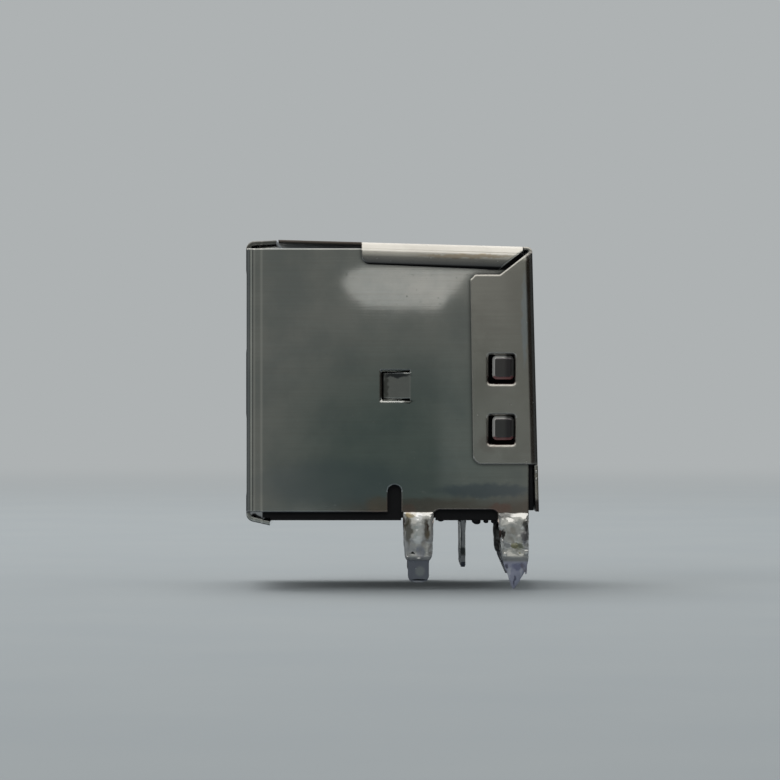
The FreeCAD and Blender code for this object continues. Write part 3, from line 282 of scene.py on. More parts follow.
shellLook = {
    "bright": "#C3C5C1", "dull": "#B2B7B5", "tarnishSize": 3.2, "tint": "#9A8A80",
    "tintHeight": (3.4, 2.2), "tintRagged": 3, "tintAlong": (-6.5, -2.5), "tintAmount": 0.75,
    "spot": "#9A9A94", "spotSize": 0.2, "spotAmount": 0.5, "spotRough": 0.3,
    "film": "#B4B7BE", "filmHeight": (-0.3, -0.9), "filmMetal": 0.7, "filmRough": 0.2,
    "ragged": 0.5, "blotches": [  # y, z, half length, half height, tone, amount
        (-5.0, 2.2, 5.0, 1.6, "#96A0A8", 0.5), (4.0, 1.8, 3.2, 0.45, "#88929E", 0.7),
        (-2.4, 0.9, 0.8, 0.6, "#B8A090", 0.6), (0.2, 1.0, 1.5, 0.4, "#A0928A", 0.7),
        # painted shadow: (-1.3, 8.72) along the top edge of the lance and (-1.95, 8.0) along its
        # left edge
        (-1.3, 8.72, 0.85, 0.2, "#3A3F46", 0.85), (-0.6, 7.12, 0.32, 0.14, "#4A4C48", 0.85),
        (-1.95, 8.0, 0.18, 0.75, "#6A6C66", 0.7), (4.9, 0.75, 0.7, 0.3, "#B08A80", 0.6),
        (-0.55, 0.7, 0.4, 0.3, "#B08A80", 0.5)],
    "endRagged": 0.1, "tipMarksAndGlint": [
        (0.1, -3.05, 0.32, 0.32, "#DCE0DA", 0.8), (0.05, -3.56, 0.5, 0.05, "#08080C", 0.95),
        (0.0, -3.68, 0.42, 0.045, "#FFFFFF", 0.9)],
    # painted shade, laid in gaps, corners, the mitre, the lip, the foot and round the snaps
    "paintedShade": "#0E0D0F", "shadeReach": 0.45, "shadeAmount": 0.9,
    # the mitre and the lip are lines on the side: slope, and height where y is 0
    "mitre": (0.854, 10.93), "mitreReach": (0.672, 0.42), "mitreFoot": (14.95, 15.03),
    "mitreShade": 0.97, "lip": (-0.033, 15.16), "lipHeight": (0.24, 0.12), "lipShade": 0.95,
    "flapEnd": (-0.04, 0), "flapLow": (-0.14, -0.06), "flapShade": "#484E57",
    "flapHeight": (0.95, 0.1), "flapAmount": 0, "rollDepth": 0, "rollHeight": (0.5, 1.0),
    "brownEdgeAndFoldShade": "#4A433E", "rawHeight": (16.3, 16.33), "rawAlong": (0, -0.03), "rawAmount": 0.6,
    "foldShadeAmount": 0, "footShade": 0, "footHeight": (3.9, 3.6), "footAlong": (6.4, 6.5),
    # painted shade on the rims towards the rear and on the flat tops, a painted reddish reflection
    # on the under chamfers
    "snap": {"y": 5.07, "z": 7.345, "halfPitch": 1.815, "reach": (1.5, 1.25),
             "foot": (6.58, 6.62), "rim": "#B4B2AE", "rimAlong": (0, 0.3), "rimShade": 0.85,
             "under": "#7A4A4C", "underFacing": (-0.1, -0.4), "underAmount": 0.9,
             "top": "#605C60", "topFacing": (0.8, 0.95), "topAmount": 0.8,
             "roundFacing": (0.98, 0.9), "dull": 0.8},
    # the creases carry painted highlight lines in the worn tone
    "creaseGlints": (-9.85, -9.4), "creaseGlintWidth": 0.13, "creaseGlintAmount": 0.5, "edge": 0.11, "wearAndGlint": "#F2F1EC",
    "wear": 0.1, "smearSize": 2.2, "gloss": (0.03, 0.06), "waveSize": 4.5, "waveDepth": 0.004,
    "lineSize": 0.09, "lineLength": 5.4, "lineDepth": 0.0001, "lineTone": 0.09}
coverLook = dict(
    shellLook, bright="#C9C7C0", dull="#BCBAB3", gloss=(0.13, 0.19), creaseGlints=(), edge=0.16,
    tintHeight=(3.6, 1.8), snap=None, mitreShade=0, flapAmount=0.85, rollDepth=0.045,
    rawAlong=(-3.36, -3.39), rawAmount=0.95, foldShadeAmount=0.4, footShade=0.95, tipMarksAndGlint=[], blotches=[
        # (6.35, 12.0) is a painted highlight along the rear bend
        (2.8, 15.82, 3.0, 0.13, "#A8977E", 0.6), (6.35, 12.0, 0.2, 3.0, "#C6D0D8", 0.6),
        (4.2, 4.6, 0.8, 0.5, "#A89C96", 0.4), (7.0, 2.3, 0.4, 1.0, "#B8B2A6", 0.9),
        (7.05, 0.85, 0.4, 0.5, "#3C3636", 0.9)])
shellSteel = platedSteel("platedSteelShell", shellLook)
coverSteel = platedSteel("platedSteelCover", coverLook)


# Glass-filled polyester, injection moulded in black. The glass at the skin gives a fine
# grey grain, and the gloss is low and uneven.
def mouldedPolyester(name, look):
    finish, tree = newFinish(name)
    spot = addNode(tree, "ShaderNodeTexCoord").outputs["Object"]
    flow = addNode(tree, "ShaderNodeTexNoise", {}, {
        "Vector": spot, "Scale": across(look["flowSize"]), "Detail": 3, "Distortion": 0.6})
    colour = paint(tree, linear(look["dark"]), linear(look["grey"]), [], flow.outputs["Fac"])
    gloss = addNode(tree, "ShaderNodeMapRange", {}, {
        "Value": flow.outputs["Fac"], "From Min": 0.3, "From Max": 0.7,
        "To Min": look["gloss"][0], "To Max": look["gloss"][1]})
    grain = addNode(tree, "ShaderNodeTexNoise", {}, {
        "Vector": spot, "Scale": across(look["grainSize"]), "Detail": 2})
    rounding = addNode(tree, "ShaderNodeBevel", {"samples": 6}, {"Radius": look["edge"] * mm})
    rough = addNode(tree, "ShaderNodeBump", {}, {
        "Height": grain.outputs["Fac"], "Strength": 1, "Distance": look["grainDepth"] * mm,
        "Normal": rounding.outputs["Normal"]})
    shader = addNode(tree, "ShaderNodeBsdfPrincipled", {}, {
        "Base Color": colour, "Roughness": gloss.outputs["Result"], "IOR": look["ior"],
        "Specular IOR Level": look["shine"], "Normal": rough.outputs["Normal"]})
    addNode(tree, "ShaderNodeOutputMaterial", {}, {"Surface": shader.outputs["BSDF"]})
    return finish


housingLook = {"dark": "#050609", "grey": "#0C0D11", "flowSize": 3, "gloss": (0.42, 0.6),
               "ior": 1.57, "shine": 0.2, "grainSize": 0.12, "grainDepth": 0.003, "edge": 0.06}
locatorLook = dict(housingLook, dark="#0B0B0D", gloss=(0.5, 0.65))
housingBlack = mouldedPolyester("mouldedPolyesterBlack", housingLook)
locatorBlack = mouldedPolyester("mouldedPolyesterLocator", locatorLook)


# Phosphor bronze strip, stamped and folded: plated with gold where plugs rub, with tin on
# the tails. The eye sees a warm yellow beam that turns grey behind the ports.
contactLook = {
    "gold": "#E2BC6A", "tin": "#C2C2BD", "changeY": (-1.3, -0.7), "gloss": (0.16, 0.28),
    "grainSize": 0.2, "edge": 0.03, "under": (0.1, -0.1), "tail": "#8A8C92", "tailAmount": 0.7,
    # painted shadow on the far tails
    "farShade": "#1C1B1C", "farShadeX": (3.0, 2.8), "farShadeAmount": 0.85, "ragged": 0.1,
    "marks": [  # y, z, half width, half height, tone, amount
        # painted shadow down the left of the seen tail, and a dark patch at its foot
        (2.71, -1.95, 0.3, 0.28, "#2C3230", 0.85), (2.54, -1.2, 0.13, 1.1, "#3A3D40", 0.85)]}


def platedBronze(name, look):
    finish, tree = newFinish(name)
    spot = addNode(tree, "ShaderNodeTexCoord").outputs["Object"]
    inMm = addNode(tree, "ShaderNodeVectorMath", {"operation": "SCALE"}, {0: spot, "Scale": 1 / mm})
    place = addNode(tree, "ShaderNodeSeparateXYZ", {}, {"Vector": inMm.outputs["Vector"]})
    start, end = look["changeY"]
    change = addNode(tree, "ShaderNodeMapRange", {}, {
        "Value": place.outputs["Y"], "From Min": start, "From Max": end})
    colour = paint(tree, linear(look["gold"]), linear(look["tin"]), [], change.outputs["Result"])
    # under the board the tails are grey, and the inner ones darkened with painted shadow
    under = (place.outputs["Z"], *look["under"])
    colour = paint(tree, colour, linear(look["tail"]), [under], look["tailAmount"])
    colour = paint(tree, colour, linear(look["farShade"]), [
        under, (place.outputs["X"], *look["farShadeX"])], look["farShadeAmount"])
    colour = addMarks(tree, spot, colour, look["marks"], look["ragged"])
    grain = addNode(tree, "ShaderNodeTexNoise", {}, {
        "Vector": spot, "Scale": across(look["grainSize"]), "Detail": 4})
    gloss = addNode(tree, "ShaderNodeMapRange", {}, {
        "Value": grain.outputs["Fac"], "To Min": look["gloss"][0], "To Max": look["gloss"][1]})
    rounding = addNode(tree, "ShaderNodeBevel", {"samples": 4}, {"Radius": look["edge"] * mm})
    shader = addNode(tree, "ShaderNodeBsdfPrincipled", {}, {
        "Base Color": colour, "Metallic": 1, "Roughness": gloss.outputs["Result"],
        "Normal": rounding.outputs["Normal"]})
    addNode(tree, "ShaderNodeOutputMaterial", {}, {"Surface": shader.outputs["BSDF"]})
    return finish


contactMetal = platedBronze("goldAndTinPlatedBronze", contactLook)


# Tin-lead solder, melted again when the part was taken off its board. It froze bright and
# lumpy, with dull grey crystals in places and yellow-brown varnish of burnt flux in its hollows.
solderLook = {
    "bright": "#E2E1DC", "dull": "#B9BABA", "metal": 0.66, "crystalSize": 0.3, "patchSize": 1.1,
    "flux": "#5E4C26", "fluxGloss": 0.22, "fluxIor": 1.53, "fluxSize": 0.9, "fluxAmount": 0.35,
    "gloss": (0.08, 0.24), "rippleSize": 0.6, "rippleDepth": 0.02, "flow": 2.2, "grainDepth": 0.003,
    # painted shadow inside the legs and on the inner tails
    "inner": "#2E2C2B", "innerX": (6.56, 6.46), "innerAmount": 0.85, "tailX": (3.0, 2.8),
    "tailAmount": 0.8, "legX": (5.0, 5.2), "peak": "#C2C4D8", "peakHeight": (-2.35, -2.55),
    "peakMetal": 0.35, "ragged": 0.5,
    "marks": [  # y, z, half width, half height, tone, amount
        # painted highlights: the white top, middle streak and tip glints (#FFFFFF, #EEF0EE,
        # #EEF0F8, #E6E8F0); a painted bluish reflection on the rear tip (#8486A4); the rest are
        # darker or tinted patches and a pit
        (0.0, 0.2, 0.3, 0.22, "#FFFFFF", 0.9), (0.0, -0.75, 0.26, 0.9, "#EEF0EE", 0.8),
        (-0.58, -0.55, 0.2, 1.0, "#565244", 0.75), (-0.55, 0.3, 0.3, 0.16, "#B9A57C", 0.8),
        (-0.7, -0.1, 0.14, 0.4, "#4A4432", 0.7), (0.52, -0.5, 0.2, 0.75, "#4A4234", 0.8),
        (0.62, -0.35, 0.1, 0.25, "#3A2014", 0.7), (0.12, -1.85, 0.34, 0.38, "#858A9A", 0.6),
        (-0.36, -1.94, 0.14, 0.05, "#101010", 0.95), (6.4, -0.3, 0.22, 0.42, "#24211A", 0.85),
        (6.35, -0.95, 0.22, 0.5, "#4C4954", 0.7), (5.06, -0.8, 0.15, 0.28, "#160E0C", 0.95),
        (5.95, -1.55, 0.42, 0.24, "#8E9068", 0.7), (5.15, 0.3, 0.45, 0.25, "#5E5E5C", 0.85),
        (5.95, -2.75, 0.45, 0.25, "#8486A4", 0.7), (5.4, -3.1, 0.13, 0.4, "#EEF0F8", 0.8),
        (6.15, -3.15, 0.1, 0.35, "#E6E8F0", 0.7), (5.78, -3.6, 0.07, 0.35, "#50526A", 0.7),
        (5.3, -2.7, 0.12, 0.15, "#3A3A48", 0.7), (2.71, -1.95, 0.3, 0.3, "#3A403E", 0.8)]}


def meltedSolder(name, look):
    finish, tree = newFinish(name)
    spot = addNode(tree, "ShaderNodeTexCoord").outputs["Object"]
    inMm = addNode(tree, "ShaderNodeVectorMath", {"operation": "SCALE"}, {0: spot, "Scale": 1 / mm})
    place = addNode(tree, "ShaderNodeSeparateXYZ", {}, {"Vector": inMm.outputs["Vector"]})
    outside = addNode(tree, "ShaderNodeMath", {"operation": "ABSOLUTE"}, {0: place.outputs["X"]})
    # it ran down the legs, so its patches and ripples are longer than they are wide
    run = addNode(tree, "ShaderNodeMapping", {}, {
        "Vector": spot, "Scale": (1, 1, 1 / look["flow"])})
    patches = addNode(tree, "ShaderNodeTexNoise", {}, {
        "Vector": run.outputs["Vector"], "Scale": across(look["patchSize"]), "Detail": 4,
        "Distortion": 0.5})
    dull = inside(tree, [(patches.outputs["Fac"], 0.42, 0.72)])
    colour = paint(tree, linear(look["bright"]), linear(look["dull"]), [], dull)
    crystals = addNode(tree, "ShaderNodeTexVoronoi", {}, {
        "Vector": spot, "Scale": across(look["crystalSize"]), "Randomness": 1})
    gloss = addNode(tree, "ShaderNodeMapRange", {}, {
        "Value": dull, "To Min": look["gloss"][0], "To Max": look["gloss"][1]})
    blotches = addNode(tree, "ShaderNodeTexNoise", {"noise_dimensions": "4D"}, {
        "Vector": run.outputs["Vector"], "W": 3.7, "Scale": across(look["fluxSize"]), "Detail": 4,
        "Distortion": 0.5})
    blotched = inside(tree, [(blotches.outputs["Fac"], 0.54, 0.66)], look["fluxAmount"])
    ripples = addNode(tree, "ShaderNodeTexNoise", {}, {
        "Vector": run.outputs["Vector"], "Scale": across(look["rippleSize"]), "Detail": 1})
    rippled = addNode(tree, "ShaderNodeBump", {}, {
        "Height": ripples.outputs["Fac"], "Strength": 1, "Distance": look["rippleDepth"] * mm})
    grained = addNode(tree, "ShaderNodeBump", {}, {
        "Height": crystals.outputs["Distance"], "Strength": 1, "Distance": look["grainDepth"] * mm,
        "Normal": rippled.outputs["Normal"]})
    # painted shadow inside the legs and on the inner tails
    onLegs = (outside.outputs["Value"], *look["legX"])
    offLegs = (outside.outputs["Value"], *reversed(look["legX"]))
    colour = paint(tree, colour, linear(look["inner"]), [
        (outside.outputs["Value"], *look["innerX"]), onLegs], look["innerAmount"])
    colour = paint(tree, colour, linear(look["inner"]), [
        (place.outputs["X"], *look["tailX"]), offLegs], look["tailAmount"])
    # at the tips of the legs a painted pale bluish reflection, and less metal
    low = inside(tree, [(place.outputs["Z"], *look["peakHeight"]), onLegs])
    colour = paint(tree, colour, linear(look["peak"]), [], low)
    colour = addMarks(tree, spot, colour, look["marks"], look["ragged"])
    plating = addNode(tree, "ShaderNodeMapRange", {}, {
        "Value": low, "To Min": look["metal"], "To Max": look["peakMetal"]})
    tin = addNode(tree, "ShaderNodeBsdfPrincipled", {}, {
        "Base Color": colour, "Metallic": plating.outputs["Result"],
        "Roughness": gloss.outputs["Result"], "Normal": grained.outputs["Normal"]})
    varnish = addNode(tree, "ShaderNodeBsdfPrincipled", {}, {
        "Base Color": linear(look["flux"]), "Roughness": look["fluxGloss"], "IOR": look["fluxIor"],
        "Normal": rippled.outputs["Normal"]})
    both = addNode(tree, "ShaderNodeMixShader", {}, {
        0: blotched, 1: tin.outputs["BSDF"], 2: varnish.outputs["BSDF"]})
    addNode(tree, "ShaderNodeOutputMaterial", {}, {"Surface": both.outputs["Shader"]})
    return finish


solderTin = meltedSolder("meltedSolder", solderLook)
print("stage: finishes made")


# The nodes of the frame take their finishes

carried = {"front_shell": shellSteel, "rear_shell": coverSteel, "housing": housingBlack,
           "tail_locator": locatorBlack}
for name, node in nodes.items():
    finish = carried.get(name) or (contactMetal if "contact" in name else solderTin)
    for slot in node.material_slots:
        slot.material = finish
print("stage: finishes given to the nodes")


# Modelling helpers

def takeUp(piece, mode="EDIT"):
    if bpy.context.object and bpy.context.object.mode != "OBJECT":
        bpy.ops.object.mode_set(mode="OBJECT")
    bpy.ops.object.select_all(action="DESELECT")
    piece.select_set(True)
    bpy.context.view_layer.objects.active = piece
    if mode != "OBJECT":
        bpy.ops.object.mode_set(mode=mode)


def pick(piece, test):  # selects the points that pass a test on their place in millimetres
    bpy.ops.mesh.select_mode(type="VERT")
    bpy.ops.mesh.select_all(action="DESELECT")
    mesh = bmesh.from_edit_mesh(piece.data)
    for point in mesh.verts:
        if test(point.co / mm):
            point.select_set(True)
    mesh.select_flush(True)
    bmesh.update_edit_mesh(piece.data)


def cutAcross(heights, normal):
    for height in heights:
        bpy.ops.mesh.select_all(action="SELECT")
        bpy.ops.mesh.bisect(plane_co=[height * mm * n for n in normal], plane_no=normal)


def setRing(piece, ring, start):  # moves and sizes the points at one height
    z, x, y, halfX, halfY = ring
    pick(piece, lambda p: abs(p.z - z) < 0.002)
    middle = Vector((start[0], start[1], z)) * mm
    bpy.ops.transform.resize(value=(halfX / start[2], halfY / start[3], 1), center_override=middle)
    bpy.ops.transform.translate(value=((x - start[0]) * mm, (y - start[1]) * mm, 0))


def applyModifier(piece, kind, **settings):
    takeUp(piece, "OBJECT")
    modifier = piece.modifiers.new(kind.title(), kind)
    for name, value in settings.items():
        setattr(modifier, name, value)
    bpy.ops.object.modifier_apply(modifier=modifier.name)


def settle(piece, name):  # place into the mesh, smooth faces, outward normals
    takeUp(piece, "OBJECT")
    bpy.ops.object.transform_apply(location=True, rotation=True, scale=True)
    piece.name = piece.data.name = name
    takeUp(piece)
    bpy.ops.mesh.select_all(action="SELECT")
    bpy.ops.mesh.remove_doubles(threshold=0.0005 * mm)
    bpy.ops.mesh.normals_make_consistent(inside=False)
    takeUp(piece, "OBJECT")
    bpy.ops.object.shade_smooth()


lumps = bpy.data.textures.new("lumps", "CLOUDS")
lumps.noise_scale = 0.55 * mm
lumps.noise_depth = 2


# Solder on the shell legs: rings of (height, x, y, half depth, half width) down each leg

legSolder = {
    "legPitch": 5.68, "start": (6.5, 0, 0.25, 0.95), "levels": 3,
    "columns": [(1, 0.75), (0.8, 1.0), (0.42, 1.15)],
    "sleeve": [
        (0.52, 6.45, -0.01, 0.13, 0.92), (0.42, 6.465, -0.01, 0.175, 0.92),
        (0.15, 6.49, 0, 0.195, 0.91), (-0.3, 6.55, 0, 0.2, 0.9), (-0.9, 6.575, 0, 0.21, 0.89),
        (-1.5, 6.575, 0, 0.22, 0.87), (-1.98, 6.575, 0.01, 0.23, 0.85),
        (-2.16, 6.58, 0.01, 0.27, 0.82), (-2.3, 6.56, 0.01, 0.25, 0.76),
        (-2.4, 6.54, 0.01, 0.16, 0.68)],
    "rearSleeve": [
        (0.5, 6.45, 0.01, 0.13, 0.94), (0.4, 6.465, 0.01, 0.175, 0.94),
        (0.15, 6.49, 0.01, 0.2, 0.93), (-0.3, 6.55, 0.03, 0.2, 0.9),
        (-0.9, 6.575, 0.06, 0.21, 0.87), (-1.5, 6.575, 0.09, 0.22, 0.84),
        (-1.98, 6.575, 0.11, 0.24, 0.82), (-2.16, 6.58, 0.12, 0.28, 0.81),
        (-2.3, 6.56, 0.13, 0.25, 0.79), (-2.4, 6.53, 0.14, 0.2, 0.77)],
    "peak": [
        (-2.75, 6.46, 0.16, 0.2, 0.7), (-3.2, 6.35, 0.12, 0.2, 0.5), (-3.6, 6.25, 0.09, 0.17, 0.3),
        (-3.95, 6.19, 0.05, 0.1, 0.13), (-4.12, 6.18, 0.03, 0.05, 0.05)],
}


def makeSleeve(rings, look):
    x, y, halfX, halfY = look["start"]
    top, end = rings[0][0], rings[-1][0]
    bpy.ops.object.select_all(action="DESELECT")
    bpy.ops.mesh.primitive_cube_add(size=1, location=(x * mm, y * mm, (top + end) / 2 * mm),
                                    scale=(2 * halfX * mm, 2 * halfY * mm, (top - end) * mm))
    piece = bpy.context.object
    bpy.ops.object.transform_apply(location=True, rotation=True, scale=True)
    takeUp(piece)
    cutAcross([ring[0] for ring in rings[1:-1]], (0, 0, 1))
    cuts = [y + side * share * halfY for share, crown in look["columns"][1:] for side in (-1, 1)]
    cutAcross(cuts, (0, 1, 0))
    for share, crown in look["columns"]:  # thin at its edges, thick along its middle
        pick(piece, lambda p: abs(abs(p.y - y) - share * halfY) < 0.002)
        bpy.ops.transform.resize(value=(crown, 1, 1), center_override=Vector((x, y, 0)) * mm)
    for ring in rings:
        setRing(piece, ring, look["start"])
    bpy.ops.object.mode_set(mode="OBJECT")
    applyModifier(piece, "SUBSURF", levels=look["levels"], render_levels=look["levels"])
    return piece


def moveMesh(piece, mirror, shift):
    takeUp(piece)
    bpy.ops.mesh.select_all(action="SELECT")
    bpy.ops.transform.resize(value=mirror, center_override=(0, 0, 0))
    bpy.ops.transform.translate(value=[s * mm for s in shift])
    bpy.ops.object.mode_set(mode="OBJECT")


def copyOf(piece):
    takeUp(piece, "OBJECT")
    bpy.ops.object.duplicate(linked=False)
    return bpy.context.object


sleeve = makeSleeve(legSolder["sleeve"], legSolder)
peaked = makeSleeve(legSolder["rearSleeve"] + legSolder["peak"], legSolder)
legPieces = {  # node: model, mirror, place along y, height of its lumps
    "leg_solder_front_right": (sleeve, (1, 1, 1), 0, 0.06),
    "leg_solder_rear_right": (peaked, (1, 1, 1), legSolder["legPitch"], 0.1),
    "leg_solder_front_left": (sleeve, (-1, 1, 1), 0, 0.06),
    "leg_solder_rear_left": (sleeve, (-1, 1, 1), legSolder["legPitch"], 0.08),
}
for node, (model, mirror, y, lump) in legPieces.items():
    piece = copyOf(model)
    moveMesh(piece, mirror, (0, y, 0))
    applyModifier(piece, "DISPLACE", texture=lumps, strength=lump * mm, mid_level=0.5)
    settle(piece, node.replace("leg_solder", "legSolder"))
    piece.data.materials.clear()
    piece.data.materials.append(solderTin)
    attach(piece, "root")
    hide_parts(node)
for model in (sleeve, peaked):
    bpy.data.objects.remove(model)
print("stage: solder on the legs")


# Solder on the contact tails

tailSolder = {
    "start": (0, 0, 0.3, 0.12), "levels": 2, "lump": 0.03, "columns": [(1, 0.7), (0.5, 1.15)],
    "rings": [(-0.04, 0, 0, 0.44, 0.27), (-0.25, 0, 0, 0.42, 0.22), (-0.65, 0, 0, 0.39, 0.185),
              (-1.2, 0, 0, 0.38, 0.175), (-1.85, 0, 0, 0.38, 0.175), (-2.12, 0, 0, 0.42, 0.2),
              (-2.35, 0, 0, 0.37, 0.17), (-2.6, 0, 0.01, 0.36, 0.165), (-2.76, 0, 0.01, 0.38, 0.18),
              (-2.88, 0, 0.02, 0.26, 0.12)],
    "columnsX": (-3.5, -1.0, 1.0, 3.5), "rows": {"lower": 2.71, "upper": 5.33},
}
collar = makeSleeve(tailSolder["rings"], tailSolder)
for level, y in tailSolder["rows"].items():
    for number, x in enumerate(tailSolder["columnsX"], start=1):
        piece = copyOf(collar)
        moveMesh(piece, (1, 1, 1), (x, y, 0))
        applyModifier(piece, "DISPLACE", texture=lumps, mid_level=0.5,
                      strength=tailSolder["lump"] * mm)
        settle(piece, "tailSolder_%s_%d" % (level, number))
        piece.data.materials.clear()
        piece.data.materials.append(solderTin)
        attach(piece, "root")
        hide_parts("%s_pin_solder_%d" % (level, number))
bpy.data.objects.remove(collar)
print("stage: solder on the tails")


# Leftovers of the soldering: a varnish of flux that ran and set like amber, and flux burnt
# black and brown where the iron was too hot
fluxLook = {"amber": "#9C9A7E", "amberDark": "#68674E", "amberGloss": 0.12, "rust": "#3A1E14",
            "burnt": "#0C0A0B", "burntGloss": 0.4, "ior": 1.53, "grainSize": 0.15,
            "grainDepth": 0.02}


def setFlux(name, colour, dark, gloss, look):
    finish, tree = newFinish(name)
    spot = addNode(tree, "ShaderNodeTexCoord").outputs["Object"]
    grain = addNode(tree, "ShaderNodeTexNoise", {}, {
        "Vector": spot, "Scale": across(look["grainSize"]), "Detail": 3})
    tone = paint(tree, linear(colour), linear(dark), [], grain.outputs["Fac"])
    rough = addNode(tree, "ShaderNodeBump", {}, {
        "Height": grain.outputs["Fac"], "Strength": 1, "Distance": look["grainDepth"] * mm})
    shader = addNode(tree, "ShaderNodeBsdfPrincipled", {}, {
        "Base Color": tone, "Roughness": gloss, "IOR": look["ior"],
        "Normal": rough.outputs["Normal"]})
    addNode(tree, "ShaderNodeOutputMaterial", {}, {"Surface": shader.outputs["BSDF"]})
    return finish


fluxFinishes = {"tin": solderTin}
for tone, name, dark, gloss in (("amber", "amberFlux", "amberDark", "amberGloss"),
                                ("burnt", "burntFlux", "burnt", "burntGloss"),
                                ("rust", "scorchedFlux", "burnt", "burntGloss")):
    fluxFinishes[tone] = setFlux(name, fluxLook[tone], fluxLook[dark], fluxLook[gloss], fluxLook)
drops = {  # name: middle, half sizes, finish
    "fluxDrop_rear": ((6.8, 5.75, -1.5), (0.12, 0.3, 0.17), "amber"),
    "fluxRun_rear": ((6.79, 6.05, -1.95), (0.1, 0.22, 0.1), "amber"),
    "scorch_rear": ((6.62, 4.92, -0.8), (0.16, 0.12, 0.26), "rust"),
    "scorch_front": ((6.6, -0.87, -0.1), (0.12, 0.07, 0.3), "rust"),
    "bead_front": ((6.86, -0.66, -2.2), (0.09, 0.11, 0.11), "tin"),
    "bead_middle": ((6.88, 0.02, -2.27), (0.06, 0.2, 0.07), "tin"),
    "bead_rear": ((6.84, 5.16, -2.1), (0.09, 0.13, 0.22), "tin"),
    "rim_rear": ((6.8, 5.02, -1.55), (0.08, 0.08, 0.45), "tin"),
    "lip_rear": ((6.84, 6.45, -1.95), (0.08, 0.16, 0.22), "tin"),
    "spike_rear": ((6.45, 6.44, -2.8), (0.09, 0.08, 0.45), "tin"),
    "bead_tail": ((3.93, 2.75, -2.15), (0.06, 0.08, 0.08), "tin"),
    "speck_upper": ((6.58, 7.04, 2.92), (0.11, 0.09, 0.14), "tin"),
    "speck_lower": ((6.58, 7.05, 2.48), (0.11, 0.08, 0.12), "tin"),
    "bump_middle": ((5.95, 3.48, -0.06), (0.3, 0.3, 0.2), "burnt"),
    "bump_rear": ((5.95, 4.05, -0.03), (0.28, 0.2, 0.16), "burnt"),
    "bump_root": ((5.98, 4.55, -0.04), (0.26, 0.24, 0.15), "burnt"),
    "bump_front": ((5.95, 1.35, -0.01), (0.3, 0.35, 0.09), "burnt"),
}


dropShape = {  # shares of its half height and half sizes
    "cuts": (-0.3, 0.45), "ends": ((-1, (0.6, 0.5, 1)), (1, (0.8, 0.75, 1))), "levels": 3,
    "lump": 0.5}


def makeDrop(name, middle, half, finish, look):
    bpy.ops.object.select_all(action="DESELECT")
    bpy.ops.mesh.primitive_cube_add(size=2, location=[p * mm for p in middle],
                                    scale=[h * mm for h in half])
    piece = bpy.context.object
    bpy.ops.object.transform_apply(location=True, rotation=True, scale=True)
    takeUp(piece)
    cutAcross([middle[2] + share * half[2] for share in look["cuts"]], (0, 0, 1))
    for side, narrow in look["ends"]:
        pick(piece, lambda p: side * (p.z - middle[2]) > 0.9 * half[2])
        bpy.ops.transform.resize(value=narrow, center_override=Vector(middle) * mm)
    bpy.ops.object.mode_set(mode="OBJECT")
    applyModifier(piece, "SUBSURF", levels=look["levels"], render_levels=look["levels"])
    applyModifier(piece, "DISPLACE", texture=lumps, mid_level=0.5,
                  strength=look["lump"] * min(half) * mm)
    settle(piece, name)
    piece.data.materials.append(fluxFinishes[finish])
    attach(piece, "root")


for name, (middle, half, finish) in drops.items():
    makeDrop(name, middle, half, finish, dropShape)
print("stage: leftovers of the soldering")


# Rib of the housing behind the tails, in the gap over the flared foot of the cover
rib = {"halfX": 6.42, "front": 6.61, "rear": 6.83, "lowRear": 6.9, "low": 0.6, "high": 3.6,
       "soften": 0.03}
ribMiddle = Vector((0, (rib["front"] + rib["rear"]) / 2, (rib["low"] + rib["high"]) / 2))
ribSize = Vector((2 * rib["halfX"], rib["rear"] - rib["front"], rib["high"] - rib["low"]))
bpy.ops.object.select_all(action="DESELECT")
bpy.ops.mesh.primitive_cube_add(size=1, location=ribMiddle * mm, scale=ribSize * mm)
block = bpy.context.object
bpy.ops.object.transform_apply(location=True, rotation=True, scale=True)
takeUp(block)
pick(block, lambda p: p.y > rib["rear"] - 0.01 and p.z < rib["low"] + 0.01)
bpy.ops.transform.translate(value=(0, (rib["lowRear"] - rib["rear"]) * mm, 0))
bpy.ops.object.mode_set(mode="OBJECT")
applyModifier(block, "BEVEL", width=rib["soften"] * mm, segments=3)
settle(block, "housingRib")
block.data.materials.append(housingBlack)
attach(block, "root")
print("stage: rib")


# Floor, lamps, cards and camera

studio = {
    "floorZ": -4.16, "floorSize": 3000, "pale": "#AEB2B3", "floor": "#A7ACAF", "toothSize": 14,
    "fade": (70, 420), "worldStrength": 1.0, "aimZ": 8,
    "key": {"place": (-130, -60, 330), "size": 260, "power": 0.75},
    "fill": {"place": (150, -260, 180), "size": 300, "power": 0.25},
}


def glowFinish(name, colour, strength):
    finish, tree = newFinish(name)
    glow = addNode(tree, "ShaderNodeEmission", {}, {"Color": linear(colour), "Strength": strength})
    addNode(tree, "ShaderNodeOutputMaterial", {}, {"Surface": glow.outputs["Emission"]})
    return finish


